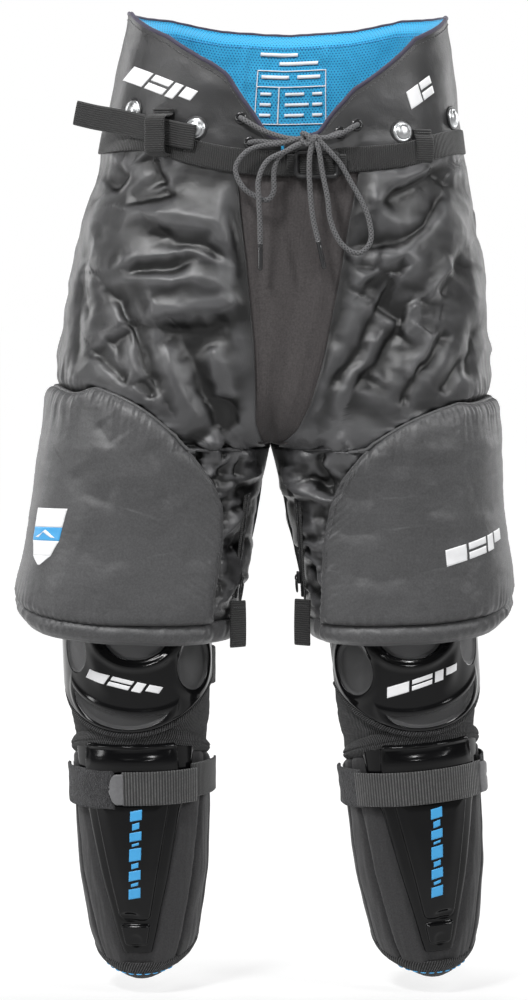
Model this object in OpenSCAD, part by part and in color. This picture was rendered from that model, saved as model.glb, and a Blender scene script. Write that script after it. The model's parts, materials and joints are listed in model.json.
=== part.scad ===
// Youth ice-hockey pants with knee and shin guards hanging from the hems.
// Frame: +Z up, +X the wearer's left, the front faces -Y, origin in the waist opening.

/* [Waist and hips] */

// height of the waist rim above the belt line, mm
rim_top = 106; // [80:1:130]
// thickness of the nylon shell, mm
shell_t = 1.2; // [0.8:0.1:3]
// thickness of the kidney and spine pads, mm
pad_t = 6; // [4:0.5:12]
// width of the belt webbing, mm
belt_w = 18; // [14:0.5:30]
// thickness of the belt webbing, mm
belt_t = 1.6; // [1:0.1:3]

/* [Legs] */

// height of the hip axis (below the belt line), mm
hip_axis_z = -140; // [-160:1:-120]
// radius of the round joint line between hips and legs, mm
hip_radius = 108; // [106:0.5:114]
// thickness of the thigh pad, mm
thigh_pad_t = 5.5; // [3:0.5:10]
// thickness of the hard thigh plate, mm
thigh_plate_t = 1.8; // [1:0.1:3]

/* [Knee and shin guards] */

// knee centre of the right guard: left or right of the origin, mm
knee_x_right = -106; // [-130:1:-90]
// knee centre of the left guard: left or right of the origin, mm
knee_x_left = 102; // [90:1:130]
// knee centre: front or back of the origin, mm
knee_y = -12; // [-30:1:10]
// knee centre: below the belt line, mm
knee_z = -385; // [-410:1:-370]
// sideways lean of the right guard, degrees
lean_right = 1; // [-5:0.5:10]
// sideways lean of the left guard, degrees
lean_left = 5; // [-5:0.5:10]
// toe-out of the right guard, degrees
toe_right = 8; // [0:0.5:25]
// toe-out of the left guard, degrees
toe_left = 14; // [0:0.5:25]
// thickness of the hard knee cap, mm
cap_t = 3.5; // [2:0.1:6]
// thickness of the shin liner foam, mm
foam_t = 9; // [5:0.5:14]

/* [Lace] */

// diameter of the waist lace, mm
lace_d = 4; // [3:0.1:6]

/* [Hidden] */

NYLON = "#4a4a4c";
MATTE = "#4b4646";
BLUE = "#2a95cf";
BLACK = "#1b1b1d";
SILVER = "#c6c8ca";
FOAM = "#3c3c40";

// right = -1 (wearer's right, -X), left = +1
R = -1;
L = 1;

// ---- pants surface: a rounded loft that splits into two legs at the crotch ----
crotch_z = -235;
gap = 1;
OUT = [[-400, 195], [-354, 191], [-300, 181], [-250, 176], [-182, 170], [-127, 165],
  [-82, 159], [-30, 149], [0, 143], [50, 135], [110, 125]];
DEP = [[-400, 92], [-300, 93], [-250, 97], [-182, 103], [-82, 100], [0, 93], [50, 90],
  [110, 86]];
INN = [[-400, 34], [-354, 24], [-300, 14], [-260, 6], [-235, 0]];

// squareness of the outline, fuller at the hems
function rn(z) = lookup(z, [[-380, 3], [-250, 2.6], [-120, 2.3]]);
function sp(v, e) = v < 0 ? -pow(-v, e) : v > 0 ? pow(v, e) : 0;
function clampu(v) = max(-1, min(1, v));
function mid(z) = 8 + 0.04 * z;
function inn_share(s) = s < 0 ? 0.72 : 1.28;
function inn(s, z) = z >= 0 ? -lookup(z, OUT)
  : z > crotch_z ? -lookup(z, OUT) * (1 - pow(z / crotch_z, 3))
  : inn_share(s) * lookup(z, INN);
function wid(s, z) = (lookup(z, OUT) - inn(s, z)) / 2;
function cen(s, z) = (lookup(z, OUT) + inn(s, z)) / 2;
function th0(s, z, d) = cen(s, z) < wid(s, z) + d
  ? acos(pow(max(0, cen(s, z)) / (wid(s, z) + d), rn(z) / 2)) : 0;
// a point of the surface: side s, share u of the way round from front to back, height z
function pt(s, u, z, d) =
  let (t = th0(s, z, d), th = t + u * (360 - 2 * t), w = wid(s, z) + d)
  [mid(z) + s * (cen(s, z) - w * sp(cos(th), 2 / rn(z))),
   -(lookup(z, DEP) + d) * sp(sin(th), 2 / rn(z)), z];
// share u at the distance dx from the centre line, on the front
function u_at(s, z, dx) =
  let (t = th0(s, z, 0), c = (cen(s, z) - dx) / wid(s, z),
       th = acos(clampu(sp(c, rn(z) / 2))))
  (th - t) / (360 - 2 * t);
function front_y(x, z, d) =
  let (s = x < mid(z) ? R : L,
       c = clampu((cen(s, z) - abs(x - mid(z))) / (wid(s, z) + d)))
  -(lookup(z, DEP) + d) * pow(max(0, 1 - pow(abs(c), rn(z))), 1 / rn(z));

// ---- closed sheet between two grids of points, rows of n + 1 points ----
function quad(a, b, c, d, f) = f ? [[a, b, c], [a, c, d]] : [[a, c, b], [a, d, c]];
function cat(l) = [for (a = l) for (b = a) b];
module sheet(outer, inner, n, m, f) {
  k = (n + 1) * (m + 1);
  q = n + 1;
  faces = cat(concat(
    [for (j = [0:m - 1]) for (i = [0:n - 1])
      quad(j * q + i, j * q + i + 1, (j + 1) * q + i + 1, (j + 1) * q + i, f)],
    [for (j = [0:m - 1]) for (i = [0:n - 1])
      quad(k + j * q + i, k + j * q + i + 1, k + (j + 1) * q + i + 1, k + (j + 1) * q + i, !f)],
    [for (i = [0:n - 1]) quad(k + i, k + i + 1, i + 1, i, f)],
    [for (i = [0:n - 1]) quad(m * q + i, m * q + i + 1, k + m * q + i + 1, k + m * q + i, f)],
    [for (j = [0:m - 1]) quad(k + j * q, j * q, (j + 1) * q, k + (j + 1) * q, f)],
    [for (j = [0:m - 1]) quad(j * q + n, k + j * q + n, k + (j + 1) * q + n, (j + 1) * q + n, f)]));
  polyhedron(points = concat(outer, inner), faces = faces, convexity = 8);
}

// ---- outlines on the pants surface ----
RIM_R = [[0, 2], [0.02, 8], [0.04, 23], [0.064, 37], [0.09, 53], [0.12, 61], [0.235, 83],
  [0.42, 104], [0.5, 106], [0.75, 104], [0.88, 97], [1, 94]];
RIM_L = [[0, 2], [0.048, 8], [0.055, 14], [0.069, 23], [0.11, 42], [0.143, 50], [0.265, 82],
  [0.44, 100], [0.5, 103], [0.75, 104], [0.88, 97], [1, 94]];
GUS_R = [[-236, 4], [-216, 12], [-190, 17], [-92, 18], [-60, 30], [-10, 42]];
GUS_L = [[-236, 4], [-222, 18], [-190, 40], [-92, 41], [-60, 54], [-10, 62]];
GUS_B = [[-236, 4], [-222, 12], [-190, 18], [-92, 18], [-60, 18]];
BELT_Z = [[-130, 4], [-98, 6], [-60, -7], [-24, -14], [14, -16], [64, -12], [101, -9],
  [122, -2], [145, 4]];
HEM = [[0, -383], [0.25, -384], [0.38, -377], [0.5, -366], [0.75, -374], [1, -383]];
function rim(s, u) = lookup(u, s < 0 ? RIM_R : RIM_L) * rim_top / 106;
function gus(s, z) = lookup(z, s < 0 ? GUS_R : GUS_L);
// front edge of the shell: the flap edge above the belt, the gusset edge below it
function u_front(s, z) = z > -14 ? u_at(s, min(z, 100), 1.5) : u_at(s, z, gus(s, z) + gap);
function u_back(s, z) = z > crotch_z ? 1 - u_at(s, z, lookup(z, GUS_B) + gap) : 0.995;
function leg_front(s, z) = z > crotch_z ? u_at(s, z, gus(s, z) + 1.5) : 0.005;
// lower edge of the hips and upper edge of the legs, both round about the hip axis
function cut_z(y, r) = hip_axis_z + sqrt(max(0, r * r - y * y));
function hips_low(s, u) = cut_z(pt(s, u, cut_z(pt(s, u, -70, 0)[1], hip_radius), 0)[1],
  hip_radius);
function legs_high(s, u) =
  cut_z(pt(s, u, cut_z(pt(s, u, -70, 0)[1], hip_radius), 0)[1], hip_radius - 3.4);

// ---- hips ----
function between(a, b, u) = a + (b - a) * u;
module waist_shell() {
  n = 64;
  m = 8;
  function p(i, j, d) =
    let (t = i / n, s = t < 0.5 ? R : L, u = t < 0.5 ? 2 * t : 2 - 2 * t,
         v = between(u_front(s, hips_low(s, u)), 1, u),
         lo = hips_low(s, between(u_front(s, hips_low(s, v)), 1, u)), hi = rim(s, u),
         z = lo + (hi - lo) * j / m)
    pt(s, between(u_front(s, z), 1, u), z, d);
  color(NYLON)
    sheet([for (j = [0:m]) for (i = [0:n]) p(i, j, 0)],
          [for (j = [0:m]) for (i = [0:n]) p(i, j, -shell_t)], n, m, true);
}

lining_d = -shell_t - pad_t - 3.3;
module waist_lining() {
  n = 36;
  m = 3;
  function p(i, j, d) =
    let (t = i / n, s = t < 0.5 ? R : L, v = t < 0.5 ? 2 * t : 2 - 2 * t,
         u = 0.05 + 0.95 * v, hi = rim(s, u) - 3, z = -20 + (hi + 20) * j / m)
    pt(s, u, z, d);
  color(BLUE)
    sheet([for (j = [0:m]) for (i = [0:n]) p(i, j, lining_d)],
          [for (j = [0:m]) for (i = [0:n]) p(i, j, lining_d - 0.8)], n, m, true);
}

// a pad between shell and lining: the region u0..u1, z0..z1 on side s
module hidden_pad(s, u0, u1, z0, z1, d0, d1, n, m) {
  function p(i, j, d) =
    let (a = i / n, b = j / m, round_off = 8 * pow(2 * a - 1, 4))
    pt(s, u0 + (u1 - u0) * a, z0 + round_off + (z1 - z0 - 2 * round_off) * b, d);
  sheet([for (j = [0:m]) for (i = [0:n]) p(i, j, d1)],
        [for (j = [0:m]) for (i = [0:n]) p(i, j, d0)], n, m, s < 0);
}

pad_out = -shell_t - 2;
pad_in = pad_out - pad_t;
module kidney_pad_right() { color(FOAM) hidden_pad(R, 0.4, 0.86, -15, 88, pad_in, pad_out, 20, 4); }
module kidney_pad_left() { color(FOAM) hidden_pad(L, 0.4, 0.86, -15, 88, pad_in, pad_out, 20, 4); }
module spine_pad() {
  n = 12;
  m = 4;
  function p(i, j, d) =
    let (a = 2 * i / n - 1, s = a < 0 ? R : L, b = j / m, k = 8 * pow(a, 4))
    pt(s, 1 - 0.11 * abs(a), -15 + k + (100 - 2 * k) * b, d);
  color(FOAM)
    sheet([for (j = [0:m]) for (i = [0:n]) p(i, j, pad_out)],
          [for (j = [0:m]) for (i = [0:n]) p(i, j, pad_in)], n, m, true);
}

// stretch panel: down the front on the surface, then round the hip axis under the crotch and
// up the seat; [height, side, 0] on the surface or [0, 0, angle] on the round part
GUS_ROWS = [[-8, 1, 0], [-34, 1, 0], [-62, 1, 0], [-94, 1, 0], [-125, 1, 0], [-155, 1, 0],
  [0, 0, 22], [0, 0, 36], [0, 0, 54], [0, 0, 72], [0, 0, 90], [0, 0, 108], [0, 0, 126],
  [0, 0, 144], [0, 0, 158], [-155, -1, 0], [-125, -1, 0], [-96, -1, 0]];
// radius of the round part about the hip axis, mm
gus_radius = 91.5;
// depth of the panel below the shell's surface, mm
gusset_d = -4.2;
// how much narrower the panel's left edge is, by height, so that the leg swings clear
GUS_IN = [[-170, 0], [-155, 5], [-62, 5], [-40, 0]];
module gusset() {
  n = 6;
  m = len(GUS_ROWS) - 1;
  function p(i, j, d) =
    let (r = GUS_ROWS[j], f = r[2], z = f > 0 ? hip_axis_z - gus_radius * sin(f) : r[0],
         front = f > 0 ? f < 90 : r[1] > 0,
         xr = mid(z) - (front ? gus(R, z) : lookup(z, GUS_B)),
         xl = mid(z) + (front ? gus(L, z) - lookup(z, GUS_IN) : lookup(z, GUS_B)),
         x = xr + (xl - xr) * i / n)
    f > 0 ? [x, -(gus_radius - d) * cos(f), hip_axis_z - (gus_radius - d) * sin(f)]
    : [x, r[1] * (front_y(x, z, gusset_d) + d), z];
  color(MATTE)
    sheet([for (j = [0:m]) for (i = [0:n]) p(i, j, 0)],
          [for (j = [0:m]) for (i = [0:n]) p(i, j, 1.8)], n, m, false);
}

// ---- belt ----
function belt_z(s, u) =
  let (x = pt(s, u, -5, 0)[0]) u > 0.5 ? 5 : lookup(x, BELT_Z);
module belt() {
  n = 44;
  function p(i, j, d) =
    let (t = i / n, s = t < 0.5 ? R : L, u = t < 0.5 ? 0.03 + 1.94 * t : 2 - 1.97 * t,
         z = belt_z(s, u) + belt_w * (j - 0.5))
    pt(s, min(1, u), z, d);
  color(BLACK)
    sheet([for (j = [0:1]) for (i = [0:n]) p(i, j, 0.5 + belt_t)],
          [for (j = [0:1]) for (i = [0:n]) p(i, j, 0.5)], n, 1, true);
}

TAIL = [[-60, -92, 5], [-72, -88, 7], [-84, -82, 10], [-98, -73, 13], [-118, -61, 18],
  [-138, -50, 22], [-154, -42, 26]];
module belt_tail() {
  n = len(TAIL) - 1;
  function p(i, j, d) = [TAIL[i][0], TAIL[i][1] + d, TAIL[i][2] + belt_w * (j - 0.5)];
  color(BLACK)
    sheet([for (j = [0:1]) for (i = [0:n]) p(i, j, -belt_t)],
          [for (j = [0:1]) for (i = [0:n]) p(i, j, 0)], n, 1, false);
}

BUCKLE = [34, -96.6, -16];
module belt_buckle() {
  color(BLACK)
    translate([BUCKLE[0], BUCKLE[1] - 3, BUCKLE[2]])
    rotate([0, 0, 1.5])
    difference() {
      cube([35, 4, 22], center = true);
      translate([-9, 0, 0]) cube([9, 6, 16], center = true);
      translate([9, 0, 0]) cube([9, 6, 16], center = true);
    }
}

// a band over the belt: a bar with a foot above and below, on side s at x from x0 to x1
module band_over(s, x0, x1, zc, h, d0, d1, dz) {
  n = 3;
  function p(i, j, d) =
    let (x = x0 + (x1 - x0) * i / n, z = zc[i] + h * (j - 0.5) + dz)
    [x, front_y(x, z, d), z];
  sheet([for (j = [0:1]) for (i = [0:n]) p(i, j, d1)],
        [for (j = [0:1]) for (i = [0:n]) p(i, j, d0)], n, 1, false);
}
module belt_loop(s, x0, x1, zc, h, lift) {
  color(BLACK) {
    band_over(s, x0, x1, zc, h, lift, lift + 1.4, 0);
    band_over(s, x0, x1, zc, 3, 0.4, lift + 0.5, h / 2 - 1.5);
    band_over(s, x0, x1, zc, 3, 0.4, lift + 0.5, 1.5 - h / 2);
  }
}
module belt_loop_right() { belt_loop(R, -92, -76, [8.5, 7.5, 6, 4.5], belt_w + 20, 14.4); }
module belt_loop_left() { belt_loop(L, 108, 124, [-5, -4, -3, -2], belt_w + 12, 3.2); }

// ---- snaps and eyelets, on the surface at x, z with the head along the outward normal ----
module on_front(x, z, d) {
  e = 2;
  y = front_y(x, z, d);
  a = atan2(front_y(x + e, z, d) - front_y(x - e, z, d), 2 * e);
  translate([x, y, z]) rotate([0, 0, a]) rotate([90, 0, 0]) children();
}
module snap(x, z, d = 0.9) {
  color(SILVER) on_front(x, z, d)
    rotate_extrude($fn = 40)
    polygon([[0, 0], [7.6, 0], [7.6, 1.2], [6.8, 2.2], [5.2, 3.1], [3, 3.7], [0, 4]]);
}
module snap_outer_right() { snap(-108, 27, 1.6); }
module snap_inner_right() { snap(-59, 12); }
module snap_inner_left() { snap(100, 9.5); }
module snap_outer_left() { snap(141, 22, 1.6); }

module eyelet(x, z) {
  color(BLACK) on_front(x, z, 0.6)
    rotate_extrude($fn = 40)
    polygon([[2.4, 0], [4.7, 0], [4.7, 0.6], [4, 1.3], [3, 1.3], [2.4, 0.6]]);
}
module eyelet_upper_right() { eyelet(-24, 19.5); }
module eyelet_lower_right() { eyelet(-17, 0.6); }
module eyelet_upper_left() { eyelet(65, 14.5); }
module eyelet_lower_left() { eyelet(52, 8.5); }

// ---- lace: round cord swept along its route ----
function unit(v) = v / max(0.0001, norm(v));
module tube(route, dia, sides) {
  n = len(route);
  function tan_at(i) = unit(route[min(n - 1, i + 1)] - route[max(0, i - 1)]);
  function ring(i) =
    let (t = tan_at(i), a = unit(cross(t, [0, 1, 0])), b = cross(t, a))
    [for (k = [0:sides - 1])
      route[i] + dia / 2 * (a * cos(360 * k / sides) + b * sin(360 * k / sides))];
  faces = concat(
    [[for (k = [0:sides - 1]) k]],
    cat([for (i = [0:n - 2]) for (k = [0:sides - 1])
      quad(i * sides + k, i * sides + (k + 1) % sides,
           (i + 1) * sides + (k + 1) % sides, (i + 1) * sides + k, false)]),
    [[for (k = [sides - 1:-1:0]) (n - 1) * sides + k]]);
  polyhedron(points = cat([for (i = [0:n - 1]) ring(i)]), faces = faces, convexity = 4);
}
KNOT = [28, -101.5, 2.2];
STRAND_A = [[-22, -97.5, 17], [-12, -99.5, 9], [2, -101.5, 3], [14, -102, 1]];
STRAND_B = [[50, -96.5, 9], [44, -98.5, 4], [38, -100, 1]];
LOOP_R = [[14, -106.5, -4], [4, -108, -12], [1, -109, -24], [1, -110, -36], [-3, -110, -43],
  [-10, -110, -42], [-20, -109, -36], [-26, -108, -28], [-28, -107, -19], [-24, -107, -11],
  [-17, -106, -5]];
LOOP_L = [[35, -107, -4], [38, -108, -22], [42, -110, -42], [44, -110, -58], [50, -111, -73],
  [59, -111, -82], [68, -110, -83], [75, -108, -74], [74, -106, -60], [69, -105, -46],
  [60, -104, -30], [52, -104, -16], [44, -105, -7]];
END_R = [[-12, -107, -20], [-11, -113, -32], [-10, -115.5, -42], [-9.5, -115, -58],
  [-9.2, -113.5, -76]];
END_L = [[29, -108, -7], [28, -109.5, -22], [29, -110, -40], [31, -111, -58], [35, -111, -74]];
module lace_crossing() {
  color(BLACK) {
    tube(STRAND_A, lace_d, 8);
    tube(STRAND_B, lace_d, 8);
  }
}
module lace_knot() { color(BLACK) translate(KNOT) scale([1.25, 0.7, 0.95]) sphere(r = 7, $fn = 32); }
module lace_loop_right() { color(BLACK) tube(LOOP_R, lace_d, 8); }
module lace_loop_left() { color(BLACK) tube(LOOP_L, lace_d, 8); }
module lace_end_right() { color(BLACK) tube(END_R, lace_d, 8); }
module lace_end_left() { color(BLACK) tube(END_L, lace_d, 8); }
module aglet_right() { color(BLACK) translate([-9.3, -113.2, -97]) cylinder(d = lace_d, h = 20, $fn = 24); }
module aglet_left() {
  color(BLACK) translate([35.2, -111, -75.5]) rotate([0, 167, 0]) cylinder(d = lace_d, h = 21, $fn = 24);
}

// ---- legs ----
function hem(u) = lookup(u, HEM);
module leg_shell(s) {
  n = 48;
  m = 12;
  function at(z, u) = between(leg_front(s, z), u_back(s, z), u);
  function p(i, j, d) =
    let (u = i / n, v = at(legs_high(s, 0.06 + 0.88 * u), u), w = at(legs_high(s, v), u),
         hi = legs_high(s, w), lo = hem(u), z = lo + (hi - lo) * j / m)
    pt(s, at(z, u), z, d);
  color(NYLON)
    sheet([for (j = [0:m]) for (i = [0:n]) p(i, j, 0)],
          [for (j = [0:m]) for (i = [0:n]) p(i, j, -shell_t)], n, m, s < 0);
}
module leg_shell_right() { leg_shell(R); }
module leg_shell_left() { leg_shell(L); }

// thigh pad outline: inner edge as a distance from the centre line, by height
PAD_R = [[-384, 42], [-350, 41], [-310, 36], [-280, 37], [-262, 44], [-240, 60], [-220, 78],
  [-206, 95], [-195, 114], [-186, 140], [-182, 155]];
PAD_L = [[-384, 48], [-350, 47], [-310, 46], [-276, 50], [-257, 58], [-238, 72], [-225, 86],
  [-214, 104], [-205, 125], [-198, 150], [-194, 160]];
function pad_top(s, u) = lookup(u, s < 0
  ? [[0.05, -262], [0.1, -240], [0.16, -220], [0.24, -203], [0.32, -194], [0.42, -188], [0.66, -190]]
  : [[0.05, -256], [0.1, -238], [0.16, -224], [0.24, -211], [0.32, -202], [0.42, -197], [0.66, -198]]);
module thigh_layer(s, inset, d0, d1, n, m) {
  function p(i, j, d) =
    let (u = i / n, hi = pad_top(s, 0.05 + 0.6 * u) - inset, lo = hem(0.1 + 0.5 * u) + 3 + inset,
         z = lo + (hi - lo) * j / m,
         a = u_at(s, z, lookup(z, s < 0 ? PAD_R : PAD_L) + inset), b = 0.64 - inset * 0.002)
    pt(s, a + (b - a) * u, z, d);
  sheet([for (j = [0:m]) for (i = [0:n]) p(i, j, d1)],
        [for (j = [0:m]) for (i = [0:n]) p(i, j, d0)], n, m, s < 0);
}
plate_in = 1.3;
plate_out = plate_in + thigh_plate_t;
pad_low = plate_out + 1.2;
module thigh_plate_right() { color(BLACK) thigh_layer(R, 9, plate_in, plate_out, 28, 12); }
module thigh_plate_left() { color(BLACK) thigh_layer(L, 9, plate_in, plate_out, 28, 12); }
module thigh_pad_right() { color(NYLON) thigh_layer(R, 0, pad_low, pad_low + thigh_pad_t, 28, 12); }
module thigh_pad_left() { color(NYLON) thigh_layer(L, 0, pad_low, pad_low + thigh_pad_t, 28, 12); }

module hem_binding(s) {
  n = 26;
  function p(i, j, d) =
    let (u = i / n, z = hem(u) - 0.4 - 2.4 * (1 - j), a = 0.012 + 0.976 * u)
    pt(s, a, z, d);
  color(NYLON)
    sheet([for (j = [0:1]) for (i = [0:n]) p(i, j, 1)],
          [for (j = [0:1]) for (i = [0:n]) p(i, j, -2.4)], n, 1, s < 0);
}
module hem_binding_right() { hem_binding(R); }
module hem_binding_left() { hem_binding(L); }

// inseam zipper: tape on the surface from the top to the hem tab, as distances from the
// centre line; the slider rides the straight line between its two ends
ZIP_TOP = -272;
ZIP_LOW = -352;
function zip_dx(s, z) = lookup(z, s < 0 ? [[-392, 27], [-352, 24], [-272, 17]]
  : [[-392, 34], [-352, 32], [-272, 23]]);
function zip_u(s, z) = u_at(s, z, zip_dx(s, z));
module zipper(s) {
  n = 2;
  m = 8;
  function p(i, j, d) =
    let (z = ZIP_LOW + (ZIP_TOP - ZIP_LOW) * j / m, u = zip_u(s, z) + 0.007 * (i - 1))
    pt(s, u, z, d);
  color(BLACK)
    sheet([for (j = [0:m]) for (i = [0:n]) p(i, j, 1.4)],
          [for (j = [0:m]) for (i = [0:n]) p(i, j, 0.3)], n, m, s < 0);
}
module zipper_right() { zipper(R); }
module zipper_left() { zipper(L); }
module at_zip(s, z, d) {
  on_front(mid(z) + s * zip_dx(s, z), z, d) rotate([0, 0, s < 0 ? -6 : 4]) children();
}
module zipper_slider(s) {
  color(BLACK) at_zip(s, -337, 3) {
    translate([0, 0, 1.2]) cube([6, 9, 2.4], center = true);
    translate([0, -9, 1.6]) cube([4, 11, 1.4], center = true);
  }
}
module zipper_slider_right() { zipper_slider(R); }
module zipper_slider_left() { zipper_slider(L); }

// hem tab: hook-and-loop strip that folds over the foot of the zipper
TAB_TOP = -356;
module hem_tab(s) {
  x = s < 0 ? -27 : 24;
  y = front_y(x + 4 * s, TAB_TOP, 0) - 6;
  color(BLACK) translate([x, y, TAB_TOP]) rotate([0, 0, -36 * s])
    translate([0, 0, -17.5]) cube([14, 2.4, 35], center = true);
}
module hem_tab_right() { hem_tab(R); }
module hem_tab_left() { hem_tab(L); }

// ---- guards: local frame at the knee centre, z up the shin, front at -y ----
GW = [[-270, 27], [-262, 33], [-240, 41], [-190, 49], [-150, 51], [-100, 52], [-60, 53],
  [0, 54], [55, 48]];
GD = [[-270, 30], [-240, 38], [-190, 46], [-150, 49], [-100, 51], [-60, 55], [0, 58], [55, 50]];
knee_r = 96;
function gp(a, z, d) = [(lookup(z, GW) + d) * sin(a), -(lookup(z, GD) + d) * cos(a), z];
function shin_top(a, r) =
  let (y = gp(a, -85, 6)[1]) -sqrt(max(0, r * r - y * y));
module place(s) {
  translate([s < 0 ? knee_x_right : knee_x_left, knee_y, knee_z])
    rotate([0, s < 0 ? -lean_right : -lean_left, 0])
    rotate([0, 0, s < 0 ? -toe_right : toe_left])
    children();
}
module guard_patch(a0, a1, n, m, d0, d1, lo, hi) {
  function p(i, j, d) =
    let (a = a0 + (a1 - a0) * i / n) gp(a, lo[i] + (hi[i] - lo[i]) * j / m, d);
  sheet([for (j = [0:m]) for (i = [0:n]) p(i, j, d1)],
        [for (j = [0:m]) for (i = [0:n]) p(i, j, d0)], n, m, false);
}
function ramp(n, a0, a1) = [for (i = [0:n]) a0 + (a1 - a0) * i / n];

module knee_cap(s) {
  n = 24;
  aa = ramp(n, -84, 84);
  color(BLACK) place(s)
    guard_patch(-84, 84, n, 8, 4.4, 4.4 + cap_t,
      [for (a = aa) -74 + 40 * pow(a / 84, 2)], [for (a = aa) 44 - 14 * pow(a / 84, 2)]);
}
module knee_cap_right() { knee_cap(R); }
module knee_cap_left() { knee_cap(L); }
module knee_pad(s) {
  n = 24;
  aa = ramp(n, -92, 92);
  color(FOAM) place(s)
    guard_patch(-92, 92, n, 8, -6, 2.8,
      [for (a = aa) -70 + 20 * pow(a / 92, 2)], [for (a = aa) 48 - 8 * pow(a / 92, 2)]);
}
module knee_pad_right() { knee_pad(R); }
module knee_pad_left() { knee_pad(L); }
module knee_strap(s) {
  n = 16;
  color(FOAM) place(s)
    guard_patch(95, 265, n, 1, -3, -1, ramp(n, -42, -42), ramp(n, -14, -14));
}
module knee_strap_right() { knee_strap(R); }
module knee_strap_left() { knee_strap(L); }

module shin_foam(s) {
  n = 22;
  aa = ramp(n, -116, 116);
  color(FOAM) place(s)
    guard_patch(-116, 116, n, 8, -foam_t, 0,
      [for (a = aa) -268 + 26 * pow(a / 116, 2)], [for (a = aa) shin_top(a, knee_r + 4)]);
}
module shin_foam_right() { shin_foam(R); }
module shin_foam_left() { shin_foam(L); }
module shin_plate(s) {
  n = 14;
  m = 8;
  function half(z) = lookup(z, [[-254, 16], [-240, 20], [-136, 45], [-108, 62], [-86, 62]]);
  function top(a) = min(-92, shin_top(a, knee_r + 1) - 8.5);
  function p(i, j, d) =
    let (hi = top(62 * (2 * i / n - 1)), z = -252 + (hi + 252) * j / m)
    gp(half(z) * (2 * i / n - 1), z, d);
  color(BLACK) place(s)
    sheet([for (j = [0:m]) for (i = [0:n]) p(i, j, 4.4)],
          [for (j = [0:m]) for (i = [0:n]) p(i, j, 0.9)], n, m, false);
}
module shin_plate_right() { shin_plate(R); }
module shin_plate_left() { shin_plate(L); }
module shin_band(s) {
  n = 20;
  aa = ramp(n, -80, 80);
  color(FOAM) place(s)
    guard_patch(-80, 80, n, 1, 0.5, 5,
      [for (a = aa) min(-89, shin_top(a, knee_r + 1) - 6)], [for (a = aa) shin_top(a, knee_r + 1)]);
}
module shin_band_right() { shin_band(R); }
module shin_band_left() { shin_band(L); }
module calf_strap(s) {
  n = 40;
  color(BLACK) place(s)
    guard_patch(-176, 176, n, 1, 5.2, 7, ramp(n, -134, -134), ramp(n, -108, -108));
}
module calf_strap_right() { calf_strap(R); }
module calf_strap_left() { calf_strap(L); }
module strap_tab(s) {
  a0 = s < 0 ? -28 : 66;
  color(MATTE) place(s)
    guard_patch(a0, a0 + 12, 3, 1, 7.4, 8.8, ramp(3, -132, -132), ramp(3, -110, -110));
}
module strap_tab_right() { strap_tab(R); }
module strap_tab_left() { strap_tab(L); }
module toe_band(s) {
  n = 16;
  aa = ramp(n, -100, 100);
  color(FOAM) place(s)
    guard_patch(-100, 100, n, 1, -foam_t, 1.5,
      [for (a = aa) -275 + 26 * pow(a / 116, 2)], [for (a = aa) -268.4 + 26 * pow(a / 116, 2)]);
}
module toe_band_right() { toe_band(R); }
module toe_band_left() { toe_band(L); }

waist_shell();
waist_lining();
gusset();
kidney_pad_right();
kidney_pad_left();
spine_pad();
belt();
belt_tail();
belt_buckle();
belt_loop_right();
belt_loop_left();
snap_outer_right();
snap_inner_right();
snap_inner_left();
snap_outer_left();
eyelet_upper_right();
eyelet_lower_right();
eyelet_upper_left();
eyelet_lower_left();
lace_crossing();
lace_knot();
lace_loop_right();
lace_loop_left();
lace_end_right();
lace_end_left();
aglet_right();
aglet_left();
leg_shell_right();
thigh_plate_right();
thigh_pad_right();
hem_binding_right();
zipper_right();
zipper_slider_right();
hem_tab_right();
leg_shell_left();
thigh_plate_left();
thigh_pad_left();
hem_binding_left();
zipper_left();
zipper_slider_left();
hem_tab_left();
knee_cap_right();
knee_pad_right();
knee_strap_right();
knee_cap_left();
knee_pad_left();
knee_strap_left();
shin_plate_right();
shin_foam_right();
shin_band_right();
calf_strap_right();
strap_tab_right();
toe_band_right();
shin_plate_left();
shin_foam_left();
shin_band_left();
calf_strap_left();
strap_tab_left();
toe_band_left();
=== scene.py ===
"""Looks of the ice hockey pants: camera, light, materials and the detailed pieces."""
import json
import math
import bmesh
import bpy
import numpy as np
from mathutils import Matrix, Vector

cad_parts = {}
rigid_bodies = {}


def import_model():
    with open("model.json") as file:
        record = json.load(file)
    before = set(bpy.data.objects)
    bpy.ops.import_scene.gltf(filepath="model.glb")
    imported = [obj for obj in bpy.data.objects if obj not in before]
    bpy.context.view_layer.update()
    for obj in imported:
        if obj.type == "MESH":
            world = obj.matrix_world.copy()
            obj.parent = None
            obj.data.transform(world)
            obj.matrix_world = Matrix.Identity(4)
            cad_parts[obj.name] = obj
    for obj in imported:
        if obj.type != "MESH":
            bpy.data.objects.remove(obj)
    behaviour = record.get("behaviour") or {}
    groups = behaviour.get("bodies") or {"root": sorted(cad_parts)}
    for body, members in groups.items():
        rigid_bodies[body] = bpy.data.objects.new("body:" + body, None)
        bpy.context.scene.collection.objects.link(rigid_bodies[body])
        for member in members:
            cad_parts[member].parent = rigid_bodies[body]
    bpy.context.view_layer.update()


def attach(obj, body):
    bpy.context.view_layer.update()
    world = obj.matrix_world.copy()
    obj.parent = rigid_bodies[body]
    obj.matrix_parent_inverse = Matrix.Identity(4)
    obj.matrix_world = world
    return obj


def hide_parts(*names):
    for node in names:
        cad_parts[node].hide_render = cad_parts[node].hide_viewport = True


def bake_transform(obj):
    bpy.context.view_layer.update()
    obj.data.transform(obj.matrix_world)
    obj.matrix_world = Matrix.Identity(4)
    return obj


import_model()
R, L = -1, 1
SIDE = {R: "right", L: "left"}
# rough sizes in mm that turn shares and angles into lengths along the cloth
HALF_GIRTH, LEG_RADIUS, GUARD_RADIUS = 470, 75, 56.0
PULL_LIFT = {R: 3.4, L: 4.3}   # the left tape curves further from the straight travel of its slider

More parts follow.
